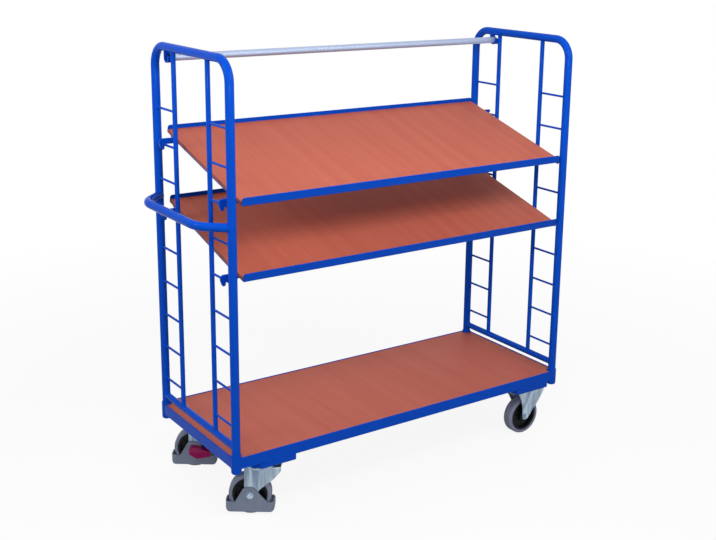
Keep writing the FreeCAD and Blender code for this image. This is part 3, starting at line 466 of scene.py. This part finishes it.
def end_tree(tree, given, shape, smooth):
    """Makes copies real, shades the shape and gives it its finish."""
    real = add_node(tree, "GeometryNodeRealizeInstances", {"Geometry": shape})
    shaded = add_node(tree, "GeometryNodeSetShadeSmooth", {
        "Geometry": real.outputs[0], "Shade Smooth": smooth})
    dressed = add_node(tree, "GeometryNodeSetMaterial", {
        "Geometry": shaded.outputs[0], "Material": given["Finish"]})
    add_node(tree, "NodeGroupOutput", {"Result": dressed.outputs[0]})
    print(tree.name, "has", len(tree.nodes), "nodes")


print("a tree can give any of", len(finish_of_slot), "finishes")


# %% A tree's result as a piece
def grow(name, tree, start, sizes, slot, body):
    """Runs a tree on a starting mesh and lets the plain mesh that comes out ride on a body."""
    values = dict(sizes, Finish=finish_of_slot[slot])
    grower = bpy.data.objects.new(name + "_start", start)
    scene.collection.objects.link(grower)
    modifier = grower.modifiers.new("tree", "NODES")
    modifier.node_group = tree
    for socket in tree.interface.items_tree:
        if socket.in_out == "INPUT" and socket.name in values:
            modifier[socket.identifier] = values[socket.name]
    grown = grower.evaluated_get(bpy.context.evaluated_depsgraph_get())
    mesh = bpy.data.meshes.new_from_object(grown)
    grower.modifiers.remove(modifier)
    bpy.data.objects.remove(grower)
    mesh.name = name
    piece = bpy.data.objects.new(name, mesh)
    scene.collection.objects.link(piece)
    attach(piece, body)
    print(name, "has", len(mesh.polygons), "faces on", body)
    return piece


# %% [markdown]
# ## Finding the joints of the frame
#
# A weld sits where one piece meets another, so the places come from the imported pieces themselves. A packed
# piece may hold many separate solids, such as eighteen rungs. A copy of its mesh is merged and walked from
# corner to corner until no neighbour is left, which gives one list of corners for each solid.

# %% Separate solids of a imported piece
merge_distance = 0.001 * millimetre


def loose_solids(node):
    """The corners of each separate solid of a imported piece."""
    copy = bmesh.new()
    copy.from_mesh(nodes[node].data)
    bmesh.ops.remove_doubles(copy, verts=copy.verts[:], dist=merge_distance)
    solids = []
    waiting = set(copy.verts)
    for first in copy.verts:
        if first not in waiting:
            continue
        waiting.remove(first)
        solid = [first]
        for corner in solid:
            near = [edge.other_vert(corner) for edge in corner.link_edges]
            fresh = [other for other in near if other in waiting]
            waiting.difference_update(fresh)
            solid.extend(fresh)
        solids.append([corner.co.copy() for corner in solid])
    copy.free()
    return solids


def box_of(corners):
    low = Vector([min(corner[axis] for corner in corners) for axis in range(3)])
    high = Vector([max(corner[axis] for corner in corners) for axis in range(3)])
    return low, high


solid_boxes = {node: [box_of(corners) for corners in loose_solids(node)]
               for node in ("handle_end_rungs", "far_end_rungs", "inner_rods", "cross_tubes")}
print({node: len(boxes) for node, boxes in solid_boxes.items()})

# %% [markdown]
# ## Weld beads round the tubes
#
# Every rung, rod and tube of the two ends is cut to a saddle and welded all round to the tube that it
# meets. A flat ring round the branch would leave the tube at its sides, so the bead follows the line where
# the two cylinders cross. On a tube of radius R, a branch along x meets it at x = sqrt(R * R - y * y), so a
# circle of the branch's size, pushed out by that rule, is the bead's line. The bead is swept along it, set
# at each joint and made a little uneven, as a hand weld is under its coat of powder.

# %% Copies at points, and uneven beads
drop_mm = 3.5
swell_share = 0.7


def set_at_points(tree, points, shape):
    """A copy of a shape at each point, turned as the point says."""
    turn = add_node(tree, "GeometryNodeInputNamedAttribute", {"Name": "turn"}, data_type="FLOAT_VECTOR")
    turned = add_node(tree, "FunctionNodeEulerToRotation", {0: turn.outputs[0]})
    return add_node(tree, "GeometryNodeInstanceOnPoints", {
        "Points": points, "Instance": shape, "Rotation": turned.outputs[0]}).outputs[0]


def uneven(tree, shape, amount):
    """Swells and thins a bead along its length, as the drops of a hand weld do."""
    real = add_node(tree, "GeometryNodeRealizeInstances", {"Geometry": shape})
    drops = add_node(tree, "ShaderNodeTexNoise", {"Scale": per_metre(drop_mm), "Detail": 1.0})
    swell = add_node(tree, "ShaderNodeMapRange", {
        "Value": drops.outputs[0], "To Min": -swell_share, "To Max": swell_share})
    reach = add_node(tree, "ShaderNodeMath", {0: swell.outputs[0], 1: amount}, operation="MULTIPLY")
    outward = add_node(tree, "GeometryNodeInputNormal")
    shift = add_node(tree, "ShaderNodeVectorMath", {0: outward.outputs[0], "Scale": reach.outputs[0]},
                     operation="SCALE")
    return add_node(tree, "GeometryNodeSetPosition", {
        "Geometry": real.outputs[0], "Offset": shift.outputs[0]}).outputs[0]


print("a bead swells and thins about every", drop_mm, "mm")

# %% Tree for a bead round a branch
branch_steps = 20
bead_sides = 6

saddle_tree, given = new_tree("saddle_weld", {
    "Tube radius": "Float", "Branch radius": "Float", "Bead": "Float"})
circle = add_node(saddle_tree, "GeometryNodeCurvePrimitiveCircle", {
    "Resolution": branch_steps, "Radius": given["Branch radius"]})
here = add_node(saddle_tree, "GeometryNodeInputPosition")
across = add_node(saddle_tree, "ShaderNodeSeparateXYZ", {0: here.outputs[0]})
tube_square = add_node(saddle_tree, "ShaderNodeMath", {0: given["Tube radius"], 1: 2.0}, operation="POWER")
side_square = add_node(saddle_tree, "ShaderNodeMath", {0: across.outputs["X"], 1: across.outputs["X"]},
                       operation="MULTIPLY")
left_over = add_node(saddle_tree, "ShaderNodeMath", {0: tube_square.outputs[0], 1: side_square.outputs[0]},
                     operation="SUBTRACT")
not_less = add_node(saddle_tree, "ShaderNodeMath", {0: left_over.outputs[0], 1: 0.0}, operation="MAXIMUM")
out = add_node(saddle_tree, "ShaderNodeMath", {0: not_less.outputs[0]}, operation="SQRT")
on_tube = add_node(saddle_tree, "ShaderNodeCombineXYZ", {
    0: out.outputs[0], 1: across.outputs["X"], 2: across.outputs["Y"]})
line = add_node(saddle_tree, "GeometryNodeSetPosition", {
    "Geometry": circle.outputs[0], "Position": on_tube.outputs[0]})
section = add_node(saddle_tree, "GeometryNodeCurvePrimitiveCircle", {
    "Resolution": bead_sides, "Radius": given["Bead"]})
bead = add_node(saddle_tree, "GeometryNodeCurveToMesh", {
    "Curve": line.outputs[0], "Profile Curve": section.outputs[0]})
welds = set_at_points(saddle_tree, given["Start"], bead.outputs[0])
end_tree(saddle_tree, given, uneven(saddle_tree, welds, given["Bead"]), smooth=True)

# %% [markdown]
# ## Where the tubes meet
#
# Each joint is a point on the axis of the tube, the way the branch leaves it, and the line of the tube. The
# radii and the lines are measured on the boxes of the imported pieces, because typed numbers would go wrong
# as soon as the trolley changed. Only the slant at which the push handle's arms leave the legs, and the
# size of each bead, are typed in.

# %% Points that know how a bead is turned
up = Vector((0, 0, 1))
sideways = Vector((0, 1, 0))


def start_points(meetings):
    """A mesh with one point for each joint, which knows how the bead is turned there."""
    mesh = bpy.data.meshes.new("joints")
    mesh.from_pydata([place for place, branch, line in meetings], [], [])
    turns = mesh.attributes.new("turn", "FLOAT_VECTOR", "POINT")
    for index, (place, branch, line) in enumerate(meetings):
        forward = Vector(branch).normalized()
        upward = Vector(line).normalized()
        axes = Matrix((forward, upward.cross(forward), upward)).transposed()
        turns.data[index].vector = axes.to_euler()
    return mesh


def middle_of(box):
    return (box[0] + box[1]) / 2


def inward_of(offset):
    """The sign of the way back to the middle, from a place on either side of it."""
    return 1 if offset < 0 else -1


print("cross tubes at x", [round(middle_of(box).x, 3) for box in solid_boxes["cross_tubes"]])

# %% Joints of both ends
meetings = {"rung_leg": [], "rung_rod": [], "rod_top_bar": [], "rod_cross_tube": [], "cross_tube_leg": []}
for end in ("handle_end", "far_end"):
    hoop_low, hoop_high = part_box(end + "_hoop")
    end_x = (hoop_low[0] + hoop_high[0]) / 2
    tube_radius = (hoop_high[0] - hoop_low[0]) / 2
    leg_lines = (hoop_low[1] + tube_radius, hoop_high[1] - tube_radius)
    rods_here = [box for box in solid_boxes["inner_rods"] if abs(middle_of(box).x - end_x) < tube_radius]
    rod_lines = [middle_of(box).y for box in rods_here]
    cross_tube = min(solid_boxes["cross_tubes"], key=lambda box: abs(middle_of(box).x - end_x))
    cross_z = middle_of(cross_tube).z
    for rung in solid_boxes[end + "_rungs"]:
        middle = middle_of(rung)
        leg_y = min(leg_lines, key=lambda line_y: abs(line_y - middle.y))
        rod_y = min(rod_lines, key=lambda line_y: abs(line_y - middle.y))
        inward = inward_of(leg_y) * sideways
        meetings["rung_leg"].append(((end_x, leg_y, middle.z), inward, up))
        meetings["rung_rod"].append(((end_x, rod_y, middle.z), -inward, up))
    for rod_y in rod_lines:
        meetings["rod_top_bar"].append(((end_x, rod_y, hoop_high[2] - tube_radius), -up, sideways))
        meetings["rod_cross_tube"].append(((end_x, rod_y, cross_z), up, sideways))
    for leg_y in leg_lines:
        meetings["cross_tube_leg"].append(((end_x, leg_y, cross_z), inward_of(leg_y) * sideways, up))
print({kind: len(found) for kind, found in meetings.items()})

# %% Joints of the push handle
handle_corner_inset = 63 * millimetre
handle_low, handle_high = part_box("push_handle")
hoop_low, hoop_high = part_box("handle_end_hoop")
end_x = (hoop_low[0] + hoop_high[0]) / 2
handle_x = handle_low[0] + tube_radius
handle_z = (handle_low[2] + handle_high[2]) / 2
meetings["push_handle_leg"] = []
for leg_y in (hoop_low[1] + tube_radius, hoop_high[1] - tube_radius):
    arm = (handle_x - end_x, inward_of(leg_y) * handle_corner_inset, 0)
    meetings["push_handle_leg"].append(((end_x, leg_y, handle_z), arm, up))
print("push handle at a height of", round(handle_z, 3), "m")

# %% Beads at all these joints
rung_low, rung_high = solid_boxes["far_end_rungs"][-1]
rung_radius = (rung_high.z - rung_low.z) / 2
rod_low, rod_high = solid_boxes["inner_rods"][-1]
rod_radius = (rod_high.y - rod_low.y) / 2
cross_low, cross_high = solid_boxes["cross_tubes"][-1]
cross_radius = (cross_high.z - cross_low.z) / 2
bead_sizes = {
    "rung_leg": (tube_radius, rung_radius, 1.0),
    "rung_rod": (rod_radius, rung_radius, 1.0),
    "rod_top_bar": (tube_radius, rod_radius, 1.5),
    "rod_cross_tube": (cross_radius, rod_radius, 1.5),
    "cross_tube_leg": (tube_radius, cross_radius, 1.8),
    "push_handle_leg": (tube_radius, tube_radius, 2.0),
}
for kind, (main_radius, branch_radius, bead_mm) in bead_sizes.items():
    sizes = {"Tube radius": main_radius, "Branch radius": branch_radius, "Bead": bead_mm * millimetre}
    grow(kind + "_welds", saddle_tree, start_points(meetings[kind]), sizes, "blue_powder_coat", "frame")

# %% [markdown]
# ## Straight weld seams
#
# The deck's rails butt against the round corner sockets, and the castor carriers are stitched to the rails
# with a few short runs. The tree turns each edge of the starting mesh into a line, sweeps the bead along it
# and closes its ends. How uneven the bead is has an input of its own, so that the same tree can also make
# smooth moulded ridges.

# %% Tree for a straight seam
seam_tree, given = new_tree("straight_ridge", {"Bead": "Float", "Step": "Float", "Unevenness": "Float"})
line = add_node(seam_tree, "GeometryNodeMeshToCurve", {"Mesh": given["Start"]})
stepped = add_node(seam_tree, "GeometryNodeResampleCurve", {
    "Curve": line.outputs[0], "Length": given["Step"]}, mode="LENGTH")
section = add_node(seam_tree, "GeometryNodeCurvePrimitiveCircle", {
    "Resolution": bead_sides, "Radius": given["Bead"]})
bead = add_node(seam_tree, "GeometryNodeCurveToMesh", {
    "Curve": stepped.outputs[0], "Profile Curve": section.outputs[0], "Fill Caps": True})
end_tree(seam_tree, given, uneven(seam_tree, bead.outputs[0], given["Unevenness"]), smooth=True)


def start_lines(lines):
    mesh = bpy.data.meshes.new("seams")
    corners = [corner for line in lines for corner in line]
    mesh.from_pydata(corners, [(2 * index, 2 * index + 1) for index in range(len(lines))], [])
    return mesh


# %% Seams of the corner sockets
socket_bead = 1.6 * millimetre
socket_boxes = [box_of(corners) for corners in loose_solids("corner_sockets")]
socket_radius = (socket_boxes[0][1].x - socket_boxes[0][0].x) / 2
rail_low, rail_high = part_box("base_front_rail")
middle_x = (cad_box[0][0] + cad_box[1][0]) / 2
socket_lines = []
for box in socket_boxes:
    middle = middle_of(box)
    toward_x = inward_of(middle.x - middle_x)
    toward_y = inward_of(middle.y)
    face_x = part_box("base_handle_end_rail")[0][0] if toward_x > 0 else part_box("base_far_end_rail")[1][0]
    face_y = rail_low[1] if toward_y > 0 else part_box("base_rear_rail")[1][1]
    run_x = math.sqrt(socket_radius ** 2 - (face_y - middle.y) ** 2)
    run_y = math.sqrt(socket_radius ** 2 - (face_x - middle.x) ** 2)
    for x, y in ((middle.x + toward_x * run_x, face_y), (face_x, middle.y + toward_y * run_y)):
        socket_lines.append(((x, y, rail_low[2]), (x, y, rail_high[2])))
grow("socket_welds", seam_tree, start_lines(socket_lines), {
    "Bead": socket_bead, "Step": socket_bead, "Unevenness": socket_bead}, "blue_powder_coat", "frame")

# %% Stitches of the castor carriers
stitch_shares = (0.28, 0.57, 0.86)
stitch_length = 18 * millimetre
stitch_bead = 1.1 * millimetre
stitch_lines = []
for carrier in ("swivel_castor_carrier", "fixed_castor_carrier"):
    low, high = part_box(carrier)
    for share in stitch_shares:
        x = low[0] + share * (high[0] - low[0])
        for face_y in (low[1], high[1]):
            ends = (x - stitch_length / 2, x + stitch_length / 2)
            stitch_lines.append([(end, face_y, high[2]) for end in ends])
grow("carrier_welds", seam_tree, start_lines(stitch_lines), {
    "Bead": stitch_bead, "Step": stitch_bead, "Unevenness": stitch_bead}, "blue_powder_coat", "frame")

# %% [markdown]
# ## Ribs of the wheel cores
#
# A polypropylene core is a hub and a rim joined by a thin web, and the mould adds ribs on both sides of the
# web so that the wheel carries its load. One rib is a thin plate, highest at the hub and the rim. An Array
# modifier could repeat it, but would need a helper object on every axle. A tree sets copies of it in a ring
# about the axle, whose place and direction come from the wheel's own joint.

# %% Tree for a ring of copies
ring_tree, given = new_tree("ring_of_copies", {"Count": "Int", "Axle place": "Vector", "Axle turn": "Vector"})
spokes = add_node(ring_tree, "GeometryNodeMeshLine", {"Count": given["Count"], "Offset": (0, 0, 0)})
share = add_node(ring_tree, "ShaderNodeMath", {0: 2 * math.pi, 1: given["Count"]}, operation="DIVIDE")
number = add_node(ring_tree, "GeometryNodeInputIndex")
angle = add_node(ring_tree, "ShaderNodeMath", {0: number.outputs[0], 1: share.outputs[0]},
                 operation="MULTIPLY")
about_z = add_node(ring_tree, "ShaderNodeCombineXYZ", {2: angle.outputs[0]})
spun = add_node(ring_tree, "FunctionNodeEulerToRotation", {0: about_z.outputs[0]})
copies = add_node(ring_tree, "GeometryNodeInstanceOnPoints", {
    "Points": spokes.outputs[0], "Instance": given["Start"], "Rotation": spun.outputs[0]})
ring = add_node(ring_tree, "GeometryNodeRealizeInstances", {"Geometry": copies.outputs[0]})
axle_turn = add_node(ring_tree, "FunctionNodeEulerToRotation", {0: given["Axle turn"]})
set_on_axle = add_node(ring_tree, "GeometryNodeTransform", {
    "Geometry": ring.outputs[0], "Translation": given["Axle place"], "Rotation": axle_turn.outputs[0]})
end_tree(ring_tree, given, set_on_axle.outputs[0], smooth=False)


# %% One rib
def core_rib(inner, outer, hub_height, waist_height, rim_height, root, crest):
    """A rib along x from hub to rim, on both sides of the web and thinner at its crests, in millimetres."""
    mesh = bpy.data.meshes.new("rib")
    corners = []
    stations = 9
    for step in range(stations):
        part = step / (stations - 1)
        ends = hub_height + (rim_height - hub_height) * part
        height = ends - (ends - waist_height) * math.sin(math.pi * part)
        reach = inner + (outer - inner) * part
        corners += [(reach, -crest, height), (reach, crest, height), (reach, root, 0),
                    (reach, crest, -height), (reach, -crest, -height), (reach, -root, 0)]
    ring = 6
    faces = [tuple(reversed(range(ring))), tuple(range(ring * (stations - 1), ring * stations))]
    for step in range(stations - 1):
        for side in range(ring):
            a = ring * step + side
            b = ring * step + (side + 1) % ring
            faces.append((a, b, b + ring, a + ring))
    mesh.from_pydata([[size * millimetre for size in corner] for corner in corners], [], faces)
    fixed = bmesh.new()
    fixed.from_mesh(mesh)
    bmesh.ops.recalc_face_normals(fixed, faces=fixed.faces[:])
    fixed.to_mesh(mesh)
    fixed.free()
    return mesh


rib = core_rib(inner=16.5, outer=44.5, hub_height=12.0, waist_height=7.5, rim_height=9.0, root=1.9, crest=1.2)
print(rib.name, "has", len(rib.polygons), "faces")

# %% Ribs on four wheels
rib_count = 12
wheel_spins = {wheel: joints[wheel + "_wheel_spin"]
               for wheel in ("front_swivel", "rear_swivel", "front_fixed", "rear_fixed")}


def on_axle(spin):
    """Where a wheel's axle is and how it is turned, as inputs for a tree."""
    turn = Vector(spin["axis"]).to_track_quat("Z", "X").to_euler()
    return {"Axle place": Vector(spin["pos_m"]), "Axle turn": Vector(turn)}


for wheel, spin in wheel_spins.items():
    grow(wheel + "_core_ribs", ring_tree, rib, dict(on_axle(spin), Count=rib_count),
         "black_plastic", spin["child"])

# %% [markdown]
# ## Moulding rings on the tyres
#
# A tyre that is moulded round its core has a fine raised ring on each side, where the tool was parted. It
# could be drawn with a bump, but a real ridge also shows in the outline. A circle is swept with a small
# round section, and the tree sets one copy on each side of the wheel.

# %% Tree for rings about an axle
ring_steps = 96
ring_sides = 8

tyre_ring_tree, given = new_tree("rings_about_axle", {
    "Radius": "Float", "Bead": "Float", "Axle place": "Vector", "Axle turn": "Vector"})
circle = add_node(tyre_ring_tree, "GeometryNodeCurvePrimitiveCircle", {
    "Resolution": ring_steps, "Radius": given["Radius"]})
section = add_node(tyre_ring_tree, "GeometryNodeCurvePrimitiveCircle", {
    "Resolution": ring_sides, "Radius": given["Bead"]})
ridge = add_node(tyre_ring_tree, "GeometryNodeCurveToMesh", {
    "Curve": circle.outputs[0], "Profile Curve": section.outputs[0]})
pair = add_node(tyre_ring_tree, "GeometryNodeInstanceOnPoints", {
    "Points": given["Start"], "Instance": ridge.outputs[0]})
rings = add_node(tyre_ring_tree, "GeometryNodeRealizeInstances", {"Geometry": pair.outputs[0]})
axle_turn = add_node(tyre_ring_tree, "FunctionNodeEulerToRotation", {0: given["Axle turn"]})
set_on_axle = add_node(tyre_ring_tree, "GeometryNodeTransform", {
    "Geometry": rings.outputs[0], "Translation": given["Axle place"], "Rotation": axle_turn.outputs[0]})
end_tree(tyre_ring_tree, given, set_on_axle.outputs[0], smooth=True)

# %% Rings on four tyres
tyre_half_width = 17 * millimetre
ring_sizes = {"Radius": 54.5 * millimetre, "Bead": 0.7 * millimetre}
tyre_sides = bpy.data.meshes.new("tyre_sides")
tyre_sides.from_pydata([(0, 0, -tyre_half_width), (0, 0, tyre_half_width)], [], [])
for wheel, spin in wheel_spins.items():
    grow(wheel + "_tyre_rings", tyre_ring_tree, tyre_sides, dict(on_axle(spin), **ring_sizes),
         "tyre", spin["child"])

# %% [markdown]
# ## Grip on the brake pedals
#
# A shoe must not slide off a brake pedal, so its sloping top is moulded with a few low ridges across it.
# The seam tree draws them, with no unevenness. The pedal's pivot and the line of the axle come from its
# joint, and the sizes from the pedal itself: its top falls by 14 mm over 45.5 mm of length.

# %% Ridges on both pedals
top_height_mm = 14
top_length_mm = 45.5
top_start_mm = 10.5
ridge_places_mm = (19, 25, 31, 37, 43)
ridge_inner_end = 28.5 * millimetre
ridge_outer_end = 42 * millimetre
ridge_sizes = {"Bead": 0.8 * millimetre, "Step": 3 * millimetre, "Unevenness": 0.0}
top_fall = top_height_mm / top_length_mm
for end in ("front", "rear"):
    press = joints[end + "_brake_pedal_press"]
    pivot = Vector(press["pos_m"])
    axle = Vector(press["axis"]).normalized()
    wheel_middle = Vector(wheel_spins[end + "_swivel"]["pos_m"])
    outward = (pivot - wheel_middle).normalized()
    forward = axle.cross(up)
    ridge_lines = []
    for along in ridge_places_mm:
        height = top_height_mm - (along - top_start_mm) * top_fall
        middle = wheel_middle + (along * forward + height * up) * millimetre
        ridge_lines.append((middle + ridge_inner_end * outward, middle + ridge_outer_end * outward))
    grow(end + "_pedal_grip", seam_tree, start_lines(ridge_lines), ridge_sizes,
         "pedal_plastic", press["child"])

# %% [markdown]
# ## Screws under the boards
#
# The boards are held from below by pan-head screws with a cross recess, which show when the trolley is seen
# from low down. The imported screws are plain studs, so these stand for them. One screw is turned from a
# profile, its crown is filled round a cross-shaped pit, and a tree sets a copy at each place.


# %% One pan-head screw
def pan_head_screw(head_radius, head_height, shank_radius, shank_length):
    """A screw that sits with its head under the origin and its shank up along z."""
    shape = bmesh.new()
    sides = 20

    def join(first, second):
        for side in range(len(first)):
            after = (side + 1) % len(first)
            shape.faces.new((first[side], first[after], second[after], second[side]))

    profile = [(0.6 * head_radius, -head_height), (0.82 * head_radius, -0.86 * head_height),
               (0.95 * head_radius, -0.6 * head_height), (head_radius, -0.25 * head_height), (head_radius, 0),
               (shank_radius, 0), (shank_radius, 0.85 * shank_length), (0.3 * shank_radius, shank_length)]
    turns = [2 * math.pi * side / sides for side in range(sides)]
    rings = [[shape.verts.new((radius * math.cos(turn), radius * math.sin(turn), z)) for turn in turns]
             for radius, z in profile]
    for first, second in zip(rings, rings[1:]):
        join(first, second)
    shape.faces.new(rings[-1])

    arm = 0.48 * head_radius
    half = 0.12 * head_radius
    taper = 0.55
    pit_height = -0.35 * head_height
    outline = []
    for quarter in range(4):
        turn = Matrix.Rotation(quarter * math.pi / 2, 2)
        outline += [turn @ Vector(corner) for corner in ((arm, -half), (arm, half), (half, half))]
    lip = [shape.verts.new((x, y, -head_height)) for x, y in outline]
    pit = [shape.verts.new((taper * x, taper * y, pit_height)) for x, y in outline]
    join(lip, pit)
    shape.faces.new(pit)
    rims = []
    for ring in (rings[0], lip):
        rims += [shape.edges.get((ring[side - 1], ring[side])) for side in range(len(ring))]
    bmesh.ops.triangle_fill(shape, use_beauty=True, use_dissolve=False, edges=rims)
    bmesh.ops.recalc_face_normals(shape, faces=shape.faces[:])
    mesh = bpy.data.meshes.new("pan_head_screw")
    shape.to_mesh(mesh)
    shape.free()
    return mesh


screw_head = 3 * millimetre
screw = bpy.data.objects.new("pan_head_screw", pan_head_screw(
    head_radius=4.5 * millimetre, head_height=screw_head,
    shank_radius=2 * millimetre, shank_length=10 * millimetre))
scene.collection.objects.link(screw)
print(screw.name, "has", len(screw.data.polygons), "faces")

# %% Tree for copies of a pattern piece
copies_tree, given = new_tree("copies_at_points", {"Pattern": "Object"})
pattern = add_node(copies_tree, "GeometryNodeObjectInfo", {"Object": given["Pattern"]})
copies = set_at_points(copies_tree, given["Start"], pattern.outputs["Geometry"])
end_tree(copies_tree, given, copies, smooth=False)

# %% Screws of the deck and the shelves
lengthwise = Vector((1, 0, 0))
for board, node, body in (("base_board", "base_board_screws", "frame"),
                          ("upper_shelf_board", "upper_shelf_screws", "upper_shelf"),
                          ("lower_shelf_board", "lower_shelf_screws", "lower_shelf")):
    top_face = max(nodes[board].data.polygons, key=lambda face: face.area * face.normal.z)
    upward = top_face.normal.copy()
    places = []
    for corners in loose_solids(node):
        middle = sum(corners, Vector()) / len(corners)
        lowest = min(corner.dot(upward) for corner in corners)
        seat = middle + (lowest + screw_head - middle.dot(upward)) * upward
        places.append((seat, lengthwise, upward))
    piece = grow(node + "_cross_head", copies_tree, start_points(places), {"Pattern": screw},
                 "zinc_plated_steel", body)
    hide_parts(node)
bpy.data.objects.remove(screw)

# %% [markdown]
# ## Sizes before and after
#
# Beads, ridges and rings stand a little proud of the imported pieces, but the trolley as a whole must not
# grow. The box of the imported model was kept at the start. It is set here beside the box of the dressed
# one, and the dressed box is printed.

# %% Boxes of the imported and the dressed trolley
visual_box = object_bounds()
sizes = {"cad": [list(corner) for corner in cad_box], "visual": [list(corner) for corner in visual_box]}
print("visual box", [[round(number, 4) for number in corner] for corner in sizes["visual"]])
